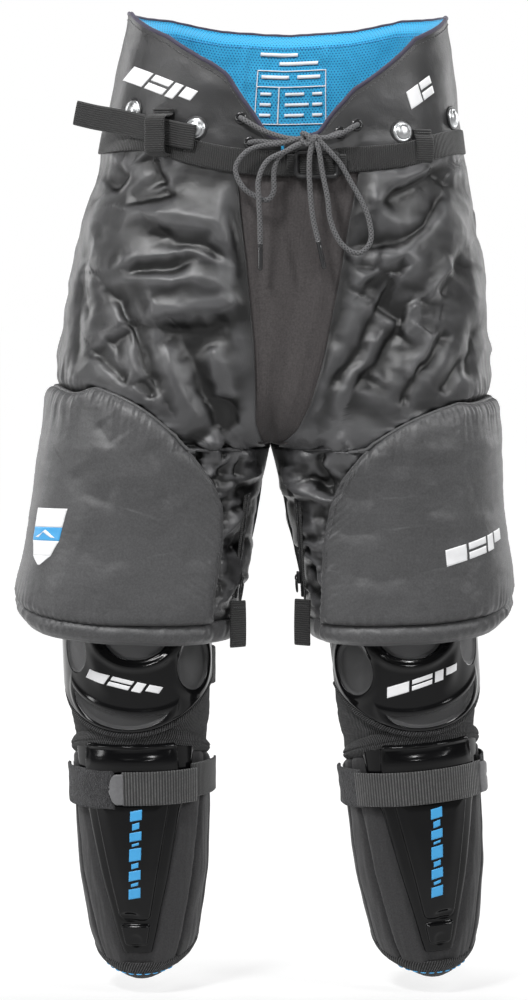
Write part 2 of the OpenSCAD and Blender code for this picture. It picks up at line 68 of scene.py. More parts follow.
# ------------------------------------------------------------------ camera and light
scene = bpy.context.scene
AIM = Vector((-0.0064, 0.0, -0.28))
DIST = 2.6
ELEV = math.radians(4)
cam_data = bpy.data.cameras.new("camera")
cam = bpy.data.objects.new("camera", cam_data)
scene.collection.objects.link(cam)
cam.location = AIM + Vector((0, -math.cos(ELEV), math.sin(ELEV))) * DIST
cam.rotation_euler = (AIM - cam.location).to_track_quat("-Z", "Y").to_euler()
cam_data.sensor_fit = "VERTICAL"
cam_data.angle_y = 2 * math.atan(0.4 / DIST)
cam_data.clip_end = 50
scene.camera = cam
scene.view_settings.view_transform = "Standard"

world = bpy.data.worlds.new("world")
scene.world = world
world.use_nodes = True
wt = world.node_tree
coord = wt.nodes.new("ShaderNodeTexCoord")
split = wt.nodes.new("ShaderNodeSeparateXYZ")
wt.links.new(coord.outputs["Generated"], split.inputs[0])


def map_range(tree, socket, *v):
    n = tree.nodes.new("ShaderNodeMapRange")
    tree.links.new(socket, n.inputs[0])
    for k, x in enumerate(v):
        if isinstance(x, (int, float)):
            n.inputs[k + 1].default_value = x
        else:
            tree.links.new(x, n.inputs[k + 1])
    return n.outputs[0]


# a white backdrop behind the pants, a darker room in front of them and above
back = map_range(wt, split.outputs[1], 0.1, 0.8, 0.22, 1.0)
wt.links.new(map_range(wt, split.outputs[2], 0.09, 0.16, back, 0.07), wt.nodes["Background"].inputs[1])
wt.nodes["Background"].inputs[0].default_value = (1, 1, 1, 1)


def area_light(name, loc, target, size, power, size_y=None):
    data = bpy.data.lights.new(name, "AREA")
    data.shape = "RECTANGLE"
    data.size = size
    data.size_y = size_y or size
    data.energy = power
    o = bpy.data.objects.new(name, data)
    o.location = loc
    o.rotation_euler = (Vector(target) - Vector(loc)).to_track_quat("-Z", "Y").to_euler()
    scene.collection.objects.link(o)


MID = (0, 0, -0.3)
area_light("key", (-0.9, -1.5, 1.7), MID, 0.5, 52, 0.6)
area_light("fill", (1.7, -1.2, 1.0), MID, 0.4, 24, 1.2)
area_light("side", (-1.9, -0.8, 0.4), MID, 0.3, 13, 1.2)
area_light("top", (0.1, 0.1, 2.0), MID, 0.5, 18)
area_light("brow", (0.35, -2.2, 0.75), (0, 0, -0.45), 0.22, 7, 0.16)
area_light("rim_l", (-1.5, 1.2, 0.4), MID, 0.4, 9, 1.2)
area_light("rim_r", (1.5, 1.2, 0.4), MID, 0.4, 9, 1.2)

# ------------------------------------------------------------------ materials
class Mat:
    """A small node-graph writer: coordinates are the mesh's UV map, in millimetres."""

    def __init__(self, name, color, rough, metal=0.0, **fixed):
        self.m = bpy.data.materials.new(name)
        self.m.use_nodes = True
        self.t = self.m.node_tree
        self.b = self.t.nodes["Principled BSDF"]
        self.b.inputs["Base Color"].default_value = (*color, 1)
        self.b.inputs["Roughness"].default_value = rough
        self.b.inputs["Metallic"].default_value = metal
        for k, v in fixed.items():
            self.b.inputs[k.replace("_", " ")].default_value = v
        self.color, self.rough = color, rough
        self.uv = self.node("ShaderNodeTexCoord").outputs["UV"]
        self.obj = self.node("ShaderNodeTexCoord").outputs["Object"]
        self.h = None

    def node(self, kind, **props):
        n = self.t.nodes.new(kind)
        for k, v in props.items():
            setattr(n, k, v)
        return n

    def link(self, a, b):
        self.t.links.new(a, b)

    def val(self, socket, v):
        if isinstance(v, (int, float)):
            socket.default_value = v
        else:
            self.link(v, socket)

    def math(self, op, a, b=0.0, c=None):
        n = self.node("ShaderNodeMath", operation=op)
        self.val(n.inputs[0], a)
        self.val(n.inputs[1], b)
        if c is not None:
            self.val(n.inputs[2], c)
        return n.outputs[0]

    def xy(self, source=None):
        n = self.node("ShaderNodeSeparateXYZ")
        self.link(source or self.uv, n.inputs[0])
        return n.outputs[0], n.outputs[1]

    def noise(self, scale, detail=3.0, source=None, distortion=0.0):
        n = self.node("ShaderNodeTexNoise")
        n.inputs["Scale"].default_value = scale
        n.inputs["Detail"].default_value = detail
        n.inputs["Distortion"].default_value = distortion
        self.link(source or self.obj, n.inputs["Vector"])
        return n.outputs["Fac"]

    def wave(self, coord, period, sharp=1.0):
        """0..1 bands of that period, in the coordinate's own unit."""
        v = self.math("SINE", self.math("MULTIPLY", coord, 2 * math.pi / period))
        v = self.math("MULTIPLY_ADD", v, 0.5, 0.5)
        return self.math("POWER", v, sharp) if sharp != 1.0 else v

    def height(self, h, k=1.0):
        v = self.math("MULTIPLY", h, k)
        self.h = v if self.h is None else self.math("ADD", self.h, v)

    def bump(self, distance=0.0005, strength=1.0):
        n = self.node("ShaderNodeBump")
        n.inputs["Distance"].default_value = distance
        n.inputs["Strength"].default_value = strength
        self.link(self.h, n.inputs["Height"])
        self.link(n.outputs[0], self.b.inputs["Normal"])

    def mix_color(self, fac, c1, c2, source1=None):
        n = self.node("ShaderNodeMix", data_type="RGBA")
        self.val(n.inputs[0], fac)
        n.inputs[6].default_value = (*c1, 1)
        n.inputs[7].default_value = (*c2, 1)
        if source1 is not None:
            self.link(source1, n.inputs[6])
        return n.outputs[2]

    def tint(self, fac, c1, c2):
        out = self.mix_color(fac, c1, c2)
        self.link(out, self.b.inputs["Base Color"])
        return out

    def ramp(self, v, lo, hi, a=0.0, b=1.0):
        n = self.node("ShaderNodeMapRange")
        for i, x in enumerate((v, lo, hi, a, b)):
            self.val(n.inputs[i], x)
        return n.outputs[0]

    def rough_from(self, v, lo, hi):
        self.link(self.ramp(v, 0.0, 1.0, lo, hi), self.b.inputs["Roughness"])


def make_materials():
    M = {}
    m = Mat("nylon", (0.014, 0.014, 0.015), 0.35, Specular_IOR_Level=0.6, Sheen_Weight=0.06,
            Sheen_Roughness=0.4)
    x, y = m.xy()
    weave = m.math("MULTIPLY", m.wave(x, 0.9), m.wave(y, 0.9))
    m.height(weave, 0.10)
    m.height(m.noise(55, 5, distortion=0.4), 0.9)
    m.height(m.noise(900, 2), 0.12)
    # painted shade in the creases and painted highlight on the ridges: the colour runs from near black where the cloth
    # lies below its neighbourhood to grey where it stands above, with random variation
    painted_fold_shading = m.ramp(m.node("ShaderNodeAttribute", attribute_name="painted_fold_shading").outputs["Fac"], -2.2, 2.4)
    painted_fold_shading = m.math("MULTIPLY", painted_fold_shading, m.math("MULTIPLY_ADD", m.noise(14, 4), 0.9, 0.5))
    m.tint(m.math("POWER", painted_fold_shading, 1.7), (0.0015, 0.0015, 0.0016), (0.075, 0.075, 0.078))
    m.rough_from(m.noise(24, 4), 0.31, 0.44)
    m.bump(0.0011, 0.5)
    M["nylon"] = m

    m = Mat("pad_nylon", (0.018, 0.018, 0.019), 0.45, Specular_IOR_Level=0.5, Sheen_Weight=0.1,
            Sheen_Roughness=0.45)
    x, y = m.xy()
    m.height(m.math("MULTIPLY", m.wave(x, 0.9), m.wave(y, 0.9)), 0.12)
    m.height(m.noise(1100, 2), 0.12)
    m.height(m.noise(26, 3), 0.5)
    m.tint(m.math("MULTIPLY_ADD", m.noise(5, 2), 1.1, m.math("MULTIPLY_ADD", m.noise(700, 3), 0.9, -0.5)),
           (0.030, 0.030, 0.031), (0.105, 0.105, 0.108))
    m.rough_from(m.noise(18, 3), 0.38, 0.50)
    m.bump(0.001, 0.45)
    M["pad"] = m

    m = Mat("stretch", (0.02, 0.018, 0.018), 0.85, Specular_IOR_Level=0.25, Sheen_Weight=0.12,
            Sheen_Roughness=0.5)
    x, y = m.xy()
    m.height(m.math("MULTIPLY", m.wave(x, 1.3), m.wave(y, 1.0)), 0.5)
    m.height(m.noise(1300, 2), 0.6)
    m.tint(m.noise(700, 3), (0.026, 0.0235, 0.0235), (0.085, 0.077, 0.077))
    m.bump(0.0007, 0.7)
    M["stretch"] = m

    m = Mat("lining", (0.02, 0.30, 0.68), 0.7, Specular_IOR_Level=0.3, Sheen_Weight=0.25)
    x, y = m.xy()
    row = m.math("FLOOR", m.math("DIVIDE", y, 2.1))
    shift = m.math("MULTIPLY", m.math("MODULO", row, 2.0), 1.4)
    fx = m.math("SUBTRACT", m.math("FRACT", m.math("DIVIDE", m.math("ADD", x, shift), 2.8)), 0.5)
    fy = m.math("SUBTRACT", m.math("FRACT", m.math("DIVIDE", y, 2.1)), 0.5)
    d = m.math("SQRT", m.math("ADD", m.math("POWER", m.math("MULTIPLY", fx, 2.8), 2.0),
                              m.math("POWER", m.math("MULTIPLY", fy, 2.1), 2.0)))
    hole = m.ramp(d, 0.42, 0.66)
    cloth = m.mix_color(m.noise(11, 4), (0.016, 0.31, 0.58), (0.05, 0.46, 0.76))
    n = m.node("ShaderNodeMix", data_type="RGBA")
    m.link(hole, n.inputs[0])
    n.inputs[6].default_value = (0.004, 0.09, 0.26, 1)
    m.link(cloth, n.inputs[7])
    m.link(n.outputs[2], m.b.inputs["Base Color"])
    m.height(hole, 0.8)
    m.height(m.noise(60, 4), 0.9)
    m.bump(0.0008, 0.6)
    M["lining"] = m

    for key, c1, c2, pitch, rough in (("webbing", (0.006,) * 3, (0.030,) * 3, 1.7, 0.62),
                                      ("strap", (0.008,) * 3, (0.15,) * 3, 2.3, 0.6)):
        m = Mat(key, c1, rough, Specular_IOR_Level=0.4, Sheen_Weight=0.2)
        x, y = m.xy()
        rib = m.wave(x, pitch)
        pick = m.wave(m.math("ADD", y, m.math("MULTIPLY", m.math("FLOOR", m.math("DIVIDE", x, pitch)), 0.55)), 1.1)
        h = m.math("MULTIPLY", rib, m.math("MULTIPLY_ADD", pick, 0.6, 0.4))
        m.height(h, 1.0)
        m.height(m.noise(900, 2), 0.25)
        # the colour follows the rib height: painted shade in the grooves between the ribs and painted highlight on
        # their crests, with random variation
        m.tint(m.math("MULTIPLY", h, m.math("MULTIPLY_ADD", m.noise(300, 3), 1.0, 0.4)), c1, c2)
        m.bump(0.0007, 0.9)
        M[key] = m

    m = Mat("knit", (0.03, 0.03, 0.031), 0.9, Specular_IOR_Level=0.2, Sheen_Weight=0.1)
    x, y = m.xy()
    rib = m.wave(m.math("ADD", x, m.math("MULTIPLY", y, 0.45)), 1.9, 1.4)
    m.height(rib, 1.0)
    m.height(m.wave(y, 1.2), 0.4)
    m.height(m.noise(1000, 2), 0.5)
    # the colour follows the rib height: painted shade between the ribs and painted highlight on their crests, with
    # random variation
    m.tint(m.math("MULTIPLY", rib, m.noise(350, 3)), (0.006,) * 3, (0.13, 0.13, 0.134))
    m.bump(0.0008, 0.9)
    M["knit"] = m

    m = Mat("foam", (0.022, 0.022, 0.023), 0.7, Specular_IOR_Level=0.35, Sheen_Weight=0.1,
            Sheen_Roughness=0.5)
    m.height(m.noise(1300, 3), 0.7)
    m.height(m.noise(70, 3), 0.5)
    m.tint(m.noise(800, 4), (0.008, 0.008, 0.0085), (0.048, 0.047, 0.049))
    m.bump(0.0006, 0.7)
    M["foam"] = m

    m = Mat("pile", (0.02,) * 3, 0.95, Specular_IOR_Level=0.1, Sheen_Weight=0.2)
    m.height(m.noise(420, 5, distortion=1.5), 1.6)
    m.tint(m.noise(380, 4, distortion=1.0), (0.004,) * 3, (0.075, 0.075, 0.08))
    m.bump(0.0018, 1.0)
    M["pile"] = m

    m = Mat("gloss", (0.003, 0.003, 0.0033), 0.12, Specular_IOR_Level=0.24)
    m.height(m.noise(20, 2), 0.6)
    m.height(m.noise(600, 2), 0.03)
    m.rough_from(m.noise(45, 5), 0.08, 0.22)
    m.tint(m.noise(30, 4), (0.002, 0.002, 0.0022), (0.005, 0.005, 0.0055))
    m.bump(0.0007, 0.25)
    M["gloss"] = m

    # glossy shell with a twill insert where the mesh's sdf attribute is below zero
    m = Mat("cap", (0.004, 0.004, 0.0044), 0.12, Specular_IOR_Level=0.3)
    att = m.node("ShaderNodeAttribute", attribute_name="sdf").outputs["Fac"]
    tone = m.node("ShaderNodeAttribute", attribute_name="tone").outputs["Fac"]
    mask = m.ramp(att, -0.25, 0.25, 1.0, 0.0)
    x, y = m.xy()
    diag = m.wave(m.math("ADD", x, y), 1.25)
    twill = m.math("MULTIPLY_ADD", diag, 0.55, 0.45)
    # the twill's colour follows its diagonal ribs: painted shade in the grooves and painted highlight on the ribs, for
    # both the grey and the dark insert
    grey = m.mix_color(twill, (0.008,) * 3, (0.22, 0.22, 0.225))
    dark = m.mix_color(twill, (0.005,) * 3, (0.045, 0.045, 0.046))
    tw = m.node("ShaderNodeMix", data_type="RGBA")
    m.link(tone, tw.inputs[0])
    m.link(dark, tw.inputs[6])
    m.link(grey, tw.inputs[7])
    out = m.node("ShaderNodeMix", data_type="RGBA")
    m.link(mask, out.inputs[0])
    out.inputs[6].default_value = (0.004, 0.004, 0.0044, 1)
    m.link(tw.outputs[2], out.inputs[7])
    m.link(out.outputs[2], m.b.inputs["Base Color"])
    base = m.ramp(m.noise(45, 5), 0.0, 1.0, 0.08, 0.2)
    m.link(m.math("ADD", base, m.math("MULTIPLY", mask, 0.28)), m.b.inputs["Roughness"])
    m.height(m.math("MULTIPLY", mask, diag), 0.6)
    m.height(m.noise(22, 2), 0.5)
    m.bump(0.0006, 0.4)
    M["cap"] = m

    m = Mat("hardware", (0.018, 0.018, 0.019), 0.38)
    m.height(m.noise(900, 3), 0.5)
    m.tint(m.noise(60, 4), (0.012,) * 3, (0.028, 0.028, 0.030))
    m.bump(0.0003, 0.6)
    M["hardware"] = m

    m = Mat("snap", (0.62, 0.63, 0.64), 0.3, metal=1.0)
    m.height(m.noise(260, 4), 0.4)
    m.tint(m.noise(170, 5), (0.42, 0.43, 0.44), (0.80, 0.81, 0.82))
    m.rough_from(m.noise(300, 4), 0.22, 0.46)
    m.bump(0.0003, 0.5)
    M["snap"] = m

    m = Mat("eyelet", (0.012, 0.012, 0.013), 0.2, Coat_Weight=0.6)
    m.height(m.noise(400, 3), 0.3)
    m.rough_from(m.noise(250, 4), 0.12, 0.34)
    m.bump(0.0003, 0.4)
    M["eyelet"] = m

    m = Mat("lace", (0.03, 0.03, 0.032), 0.75, Specular_IOR_Level=0.3, Sheen_Weight=0.08)
    x, y = m.xy()
    m.height(m.wave(m.math("ADD", y, m.math("MULTIPLY", x, 0.6)), 0.5), 0.5)
    m.height(m.noise(1500, 3), 0.6)
    # the colour follows the braid's crests: painted shade in the grooves and painted highlight on the crests
    m.tint(m.node("ShaderNodeAttribute", attribute_name="braid").outputs["Fac"],
           (0.0015, 0.0015, 0.002), (0.17, 0.17, 0.175))
    m.bump(0.0003, 0.7)
    M["lace"] = m

    m = Mat("aglet", (0.02, 0.02, 0.021), 0.16, Coat_Weight=0.6)
    m.height(m.noise(500, 3), 0.3)
    m.rough_from(m.noise(300, 4), 0.1, 0.3)
    m.bump(0.0003, 0.5)
    M["aglet"] = m

    for key, c, c2 in (("print_white", (0.78, 0.78, 0.79), (0.88, 0.88, 0.89)),
                       ("print_blue", (0.04, 0.32, 0.66), (0.07, 0.40, 0.76))):
        m = Mat(key, c, 0.42)
        m.height(m.noise(700, 3), 0.4)
        m.tint(m.noise(120, 4), c, c2)
        m.bump(0.0003, 0.5)
        M[key] = m

    for key, c, c2, r in (("thread_blue", (0.05, 0.33, 0.72), (0.13, 0.52, 0.88), 0.6),
                          ("thread", (0.03,) * 3, (0.11, 0.11, 0.115), 0.7),
                          ("edging", (0.018, 0.014, 0.03), (0.045, 0.036, 0.075), 0.7),
                          ("pull", (0.10, 0.10, 0.105), (0.17, 0.17, 0.175), 0.5)):
        m = Mat(key, c, r, Sheen_Weight=0.2)
        x, y = m.xy()
        m.height(m.noise(900, 3), 0.7)
        m.tint(m.noise(400, 3), c, c2)
        m.bump(0.0004, 0.7)
        M[key] = m
    return {k: v.m for k, v in M.items()}


MAT = make_materials()

# ------------------------------------------------------------------ small maths
def sm(x, a, b):
    t = np.clip((x - a) / (b - a), 0, 1)
    return t * t * (3 - 2 * t)


PERM = np.random.RandomState(11).permutation(256)
GRAD = np.random.RandomState(12).uniform(-1, 1, (256, 3))


def noise3(x, y, z):
    """Smooth gradient noise, about -1 to 1, for arrays."""
    x, y, z = np.broadcast_arrays(x, y, z)
    p = [np.floor(c).astype(int) for c in (x, y, z)]
    f = [c - q for c, q in zip((x, y, z), p)]
    w = [t * t * t * (t * (6 * t - 15) + 10) for t in f]
    out = 0
    for i in (0, 1):
        for j in (0, 1):
            for k in (0, 1):
                h = PERM[(PERM[(PERM[(p[0] + i) & 255] + p[1] + j) & 255] + p[2] + k) & 255]
                g = GRAD[h]
                dot = g[..., 0] * (f[0] - i) + g[..., 1] * (f[1] - j) + g[..., 2] * (f[2] - k)
                out = out + (dot * (w[0] if i else 1 - w[0]) * (w[1] if j else 1 - w[1])
                             * (w[2] if k else 1 - w[2]))
    return out * 1.6


def ridged(x, y, z):
    return 1 - 2 * np.abs(noise3(x, y, z))


def seg(px, py, path):
    """Signed distance to a polyline, and the share along it."""
    path = np.array(path, float)
    lens = np.hypot(*(path[1:] - path[:-1]).T)
    total = lens.sum()
    best = np.full(np.shape(px), 1e9)
    sign = np.ones(np.shape(px))
    along = np.zeros(np.shape(px))
    run = 0
    for k in range(len(lens)):
        a, b = path[k], path[k + 1]
        d = (b - a) / lens[k]
        rx, ry = px - a[0], py - a[1]
        t = np.clip(rx * d[0] + ry * d[1], 0, lens[k])
        cx, cy = rx - t * d[0], ry - t * d[1]
        dist = np.hypot(cx, cy)
        hit = dist < best
        best = np.where(hit, dist, best)
        sign = np.where(hit, np.where(d[0] * ry - d[1] * rx >= 0, 1, -1), sign)
        along = np.where(hit, (run + t) / total, along)
        run += lens[k]
    return best * sign, along


# ------------------------------------------------------------------ pants surface, as in the CAD, mm
OUT = [(-400, 195), (-354, 191), (-300, 181), (-250, 176), (-182, 170), (-127, 165), (-82, 159),
       (-30, 149), (0, 143), (50, 135), (110, 125)]
DEP = [(-400, 92), (-300, 93), (-250, 97), (-182, 103), (-82, 100), (0, 93), (50, 90), (110, 86)]
INN = [(-400, 34), (-354, 24), (-300, 14), (-260, 6), (-235, 0)]
CROTCH = -235.0


def look(v, table):
    t = np.array(table, float)
    return np.interp(v, t[:, 0], t[:, 1])


def smooth_look(v, table, w=9.0):
    return (look(v - w, table) + 2 * look(v, table) + look(v + w, table)) / 4


def rn(z):
    return look(z, [(-380, 3), (-250, 2.6), (-120, 2.3)])


def spow(v, e):
    return np.sign(v) * np.abs(v) ** e


def mid(z):
    return 8 + 0.04 * z


def parts(s, z):
    a = smooth_look(z, OUT)
    share = 0.72 if s < 0 else 1.28
    top = -a * (1 - np.clip(z / CROTCH, 0, 1) ** 3)
    inn = np.where(z > CROTCH, top, share * look(z, INN))
    return (a - inn) / 2, (a + inn) / 2


def theta0(s, z):
    w, c = parts(s, z)
    q = np.clip(np.maximum(0, c) / w, 0, 1)
    return np.arccos(q ** (rn(z) / 2))


def base(s, u, z):
    w, c = parts(s, z)
    t0 = theta0(s, z)
    th = t0 + u * (2 * np.pi - 2 * t0)
    return np.stack([mid(z) + s * (c - w * spow(np.cos(th), 2 / rn(z))),
                     -smooth_look(z, DEP) * spow(np.sin(th), 2 / rn(z)), z + 0 * u], -1)


def angle(s, u, z):
    t0 = theta0(s, z)
    return t0 + u * (2 * np.pi - 2 * t0)


def share(s, th, z):
    t0 = theta0(s, z)
    return (th - t0) / (2 * np.pi - 2 * t0)


def u_at(s, z, dx):
    w, c = parts(s, z)
    t0 = theta0(s, z)
    th = np.arccos(np.clip(spow((c - dx) / w, rn(z) / 2), -1, 1))
    return (th - t0) / (2 * np.pi - 2 * t0)


RIM = {R: [(0, 2), (0.02, 8), (0.04, 23), (0.064, 37), (0.09, 53), (0.12, 61), (0.235, 83),
           (0.42, 104), (0.5, 106), (0.75, 104), (0.88, 97), (1, 94)],
       L: [(0, 2), (0.048, 8), (0.055, 14), (0.069, 23), (0.11, 42), (0.143, 50), (0.265, 82),
           (0.44, 100), (0.5, 103), (0.75, 104), (0.88, 97), (1, 94)]}
GUS = {R: [(-236, 4), (-216, 13), (-190, 14), (-151, 17), (-92, 25), (-60, 30), (-31, 34), (-10, 42)],
       L: [(-236, 4), (-222, 20), (-200, 30), (-172, 37), (-151, 41), (-102, 49), (-60, 54), (-10, 62)]}
HEM = [(0, -383), (0.22, -384), (0.36, -376), (0.5, -359), (0.75, -371), (1, -383)]
BELT_Z = [(-130, 4), (-98, 6), (-60, -7), (-24, -14), (14, -16), (64, -12), (101, -9), (122, -2), (145, 4)]


def hem(u):
    return smooth_look(u, HEM, 0.03)


def normals(P, flip=1.0):
    du = np.gradient(P, axis=1)
    dv = np.gradient(P, axis=0)
    n = np.cross(du, dv) * flip
    return n / np.maximum(1e-9, np.linalg.norm(n, axis=-1, keepdims=True))


def surf(s, u, z, off=0.0, field=None):
    """Points of the pants surface pushed out along its normal by off plus the fold field."""
    u, z = np.broadcast_arrays(np.asarray(u, float), np.asarray(z, float))
    e = 0.0015
    p = base(s, u, z)
    du = base(s, u + e, z) - base(s, u - e, z)
    th = angle(s, u, z)
    dz = base(s, share(s, th, z + 0.6), z + 0.6) - base(s, share(s, th, z - 0.6), z - 0.6)
    n = np.cross(du, dz) * (-1 if s < 0 else 1)
    n /= np.maximum(1e-9, np.linalg.norm(n, axis=-1, keepdims=True))
    d = off + (0 if field is None else field(s, u, z, p))
    return p + n * np.asarray(d)[..., None], n


# ------------------------------------------------------------------ mesh building
def new_mesh(name, verts, faces, mats, uv=None, mat_index=None, attrs=None, smooth=True):
    me = bpy.data.meshes.new(name)
    me.from_pydata([tuple(v) for v in np.asarray(verts) * 0.001], [], [tuple(f) for f in faces])
    for m in (mats if isinstance(mats, (list, tuple)) else [mats]):
        me.materials.append(MAT[m])
    if mat_index is not None:
        me.polygons.foreach_set("material_index", np.asarray(mat_index, np.int32))
    if uv is not None:
        layer = me.uv_layers.new(name="UVMap")
        idx = np.zeros(len(me.loops), np.int32)
        me.loops.foreach_get("vertex_index", idx)
        layer.data.foreach_set("uv", np.asarray(uv, np.float32)[idx].ravel())
    for k, v in (attrs or {}).items():
        me.attributes.new(k, "FLOAT", "POINT").data.foreach_set("value", np.asarray(v, np.float32))
    bm = bmesh.new()
    bm.from_mesh(me)
    bmesh.ops.recalc_face_normals(bm, faces=bm.faces)
    bm.to_mesh(me)
    bm.free()
    me.polygons.foreach_set("use_smooth", [smooth] * len(me.polygons))
    me.update()
    o = bpy.data.objects.new(name, me)
    scene.collection.objects.link(o)
    return o


def grid_faces(rows, cols, base_i=0, wrap=False, flip=False):
    i = np.arange(rows - 1)[:, None] * cols + base_i
    j = np.arange(cols if wrap else cols - 1)[None, :]
    k = (j + 1) % cols
    f = np.stack([i + j, i + k, i + cols + k, i + cols + j], -1).reshape(-1, 4)
    return f[:, ::-1] if flip else f


def arc_uv(P):
    """UV in mm: arc length along the middle row, and along each column."""
    mrow = P[P.shape[0] // 2]
    x = np.concatenate([[0], np.cumsum(np.linalg.norm(np.diff(mrow, axis=0), axis=1))])
    dz = np.linalg.norm(np.diff(P, axis=0), axis=2)
    y = np.concatenate([np.zeros((1, P.shape[1])), np.cumsum(dz, 0)])
    return np.stack([np.broadcast_to(x, y.shape), y], -1)


def slab(name, P, N, t, mats, wrap=False, rnd=True, face_mat=None, attrs=None, flip=False):
    """A closed sheet: outer grid P, inner grid P - N t, with rounded rims."""
    rows, cols = P.shape[:2]
    t = np.asarray(t, float)
    t = t if t.ndim == 0 else t[..., None]
    Q = P - N * t
    Mi = P - N * t * 0.5
    uv = arc_uv(P)
    verts = [P.reshape(-1, 3), Q.reshape(-1, 3)]
    uvs = [uv.reshape(-1, 2), uv.reshape(-1, 2)]
    n = rows * cols
    faces = [grid_faces(rows, cols, 0, wrap, flip), grid_faces(rows, cols, n, wrap, not flip)]
    edges = [[r * cols + c for c in range(cols)] for r in (0, rows - 1)]
    loops = []
    if wrap:
        loops = [(edges[0], True), (edges[1], False)]
    else:
        ring = (edges[0] + [r * cols + cols - 1 for r in range(1, rows)] + edges[1][::-1][1:]
                + [r * cols for r in range(rows - 2, 0, -1)])
        loops = [(ring, True)]
    at = 2 * n
    for ring, direct in loops:
        k = len(ring)
        ring = np.array(ring)
        flatM = Mi.reshape(-1, 3)[ring]
        if rnd:
            # round the rim: its middle moves outwards, away from the sheet
            flatP = P.reshape(-1, 3)[ring]
            nxt, prv = np.roll(flatP, -1, 0), np.roll(flatP, 1, 0)
            tan = nxt - prv
            out = np.cross(tan, N.reshape(-1, 3)[ring])
            out /= np.maximum(1e-9, np.linalg.norm(out, axis=1, keepdims=True))
            # outward is away from the neighbour row inside the sheet
            rr, cc = ring // cols, ring % cols
            r2 = np.clip(rr, 1, rows - 2)
            c2 = cc if wrap else np.clip(cc, 1, cols - 2)
            inward = P[r2, c2] - P[rr, cc]
            sgn = np.where((out * inward).sum(1) > 0, -1.0, 1.0)[:, None]
            tt = (t if t.ndim == 0 else t.reshape(-1)[ring][:, None])
            flatM = flatM + out * sgn * tt * 0.45
        verts.append(flatM)
        uvs.append(uv.reshape(-1, 2)[ring])
        a, b, m = ring, ring + n, at + np.arange(k)
        j = np.arange(k)
        q = (j + 1) % k
        f1 = np.stack([a[j], m[j], m[q], a[q]], -1)
        f2 = np.stack([m[j], b[j], b[q], m[q]], -1)
        f = np.concatenate([f1, f2])
        faces.append(f[:, ::-1] if (flip == direct) else f)
        at += k
    V, U, F = np.concatenate(verts), np.concatenate(uvs), np.concatenate(faces)
    mi = None
    if face_mat is not None:
        fm = np.asarray(face_mat).reshape(-1)
        mi = np.concatenate([fm, fm, np.zeros(len(F) - 2 * len(fm), int)])
    at_v = None
    if attrs:
        at_v = {}
        for key, val in attrs.items():
            v = np.asarray(val, float).reshape(-1)
            at_v[key] = np.concatenate([v, v] + [v[np.array(r)] for r, _ in loops])
    o = new_mesh(name, V, F, mats, U, mi, at_v)
    return o


def tube(name, path, radius, mats, sides=12, closed=False, squash=1.0, radii=None, caps=True,
         uvk=1.0, braid=False, up=None):
    """A round or flattened tube along a path in mm."""
    P = np.asarray(path, float)
    n = len(P)
    T = (np.roll(P, -1, 0) - np.roll(P, 1, 0)) if closed else np.gradient(P, axis=0)
    T /= np.maximum(1e-9, np.linalg.norm(T, axis=1, keepdims=True))
    a = np.array(up if up is not None else (0.0, -1.0, 0.05))
    A = []
    for i in range(n):
        a = a - T[i] * a.dot(T[i])
        a = a / max(1e-9, np.linalg.norm(a))
        A.append(a.copy())
    A = np.array(A)
    B = np.cross(T, A)
    s = np.concatenate([[0], np.cumsum(np.linalg.norm(np.diff(P, axis=0), axis=1))])
    rad = np.full(n, radius, float) if radii is None else np.asarray(radii, float)
    ang = np.arange(sides) * 2 * np.pi / sides
    r = np.repeat(rad[:, None], sides, 1)
    br = np.zeros((n, sides))
    if braid:
        k = 2 * np.pi / 6.0
        w1 = np.sin(ang[None] * 4 + s[:, None] * k * 2)
        w2 = np.sin(ang[None] * 4 - s[:, None] * k * 2 + 0.8)
        br = np.maximum(w1, w2)
        r = r * (0.93 + 0.11 * br)
    V = (P[:, None] + A[:, None] * (np.cos(ang)[None, :, None] * r[..., None] * squash)
         + B[:, None] * (np.sin(ang)[None, :, None] * r[..., None]))
    F = grid_faces(n + (1 if closed else 0), sides, 0, True)
    if closed:
        F = F % (n * sides)
    V = V.reshape(-1, 3)
    U = np.stack([np.repeat(s * uvk, sides), np.tile(ang * radius, n)], -1)
    # the braid's crest value, kept as an attribute from which the lace paints shade into its grooves and highlight onto
    # its crests
    bv = np.clip(br * 0.5 + 0.5, 0, 1).reshape(-1) ** 1.5
    faces = list(map(tuple, F))
    if caps and not closed:
        V = np.concatenate([V, [P[0] - T[0] * rad[0] * 0.35], [P[-1] + T[-1] * rad[-1] * 0.35]])
        U = np.concatenate([U, [[0, 0]], [[s[-1], 0]]])
        bv = np.concatenate([bv, [0.5, 0.5]])
        c0, c1 = n * sides, n * sides + 1
        for k in range(sides):
            faces.append((c0, (k + 1) % sides, k))
            faces.append((c1, (n - 1) * sides + k, (n - 1) * sides + (k + 1) % sides))
    return new_mesh(name, V, faces, mats, U, None, {"braid": bv} if braid else None)


def join(name, objs):
    """Joins objects into one, keeping materials."""
    bpy.ops.object.select_all(action="DESELECT")
    for o in objs:
        o.select_set(True)
    bpy.context.view_layer.objects.active = objs[0]
    bpy.ops.object.join()
    objs[0].name = name
    objs[0].data.name = name
    return objs[0]


def resample(path, step):
    P = np.asarray(path, float)
    s = np.concatenate([[0], np.cumsum(np.linalg.norm(np.diff(P, axis=0), axis=1))])
    n = max(2, int(round(s[-1] / step)) + 1)
    t = np.linspace(0, s[-1], n)
    return np.stack([np.interp(t, s, P[:, k]) for k in range(3)], -1)


def spline(points, step=1.0):
    """Catmull-Rom through the points, evenly spaced."""
    P = np.asarray(points, float)
    Q = np.concatenate([[2 * P[0] - P[1]], P, [2 * P[-1] - P[-2]]])
    out = []
    for i in range(len(P) - 1):
        p0, p1, p2, p3 = Q[i:i + 4]
        t = np.linspace(0, 1, 24, endpoint=False)[:, None]
        out.append(0.5 * (2 * p1 + (p2 - p0) * t + (2 * p0 - 5 * p1 + 4 * p2 - p3) * t ** 2
                          + (3 * p1 - p0 - 3 * p2 + p3) * t ** 3))
    return resample(np.concatenate(out + [P[-1:]]), step)


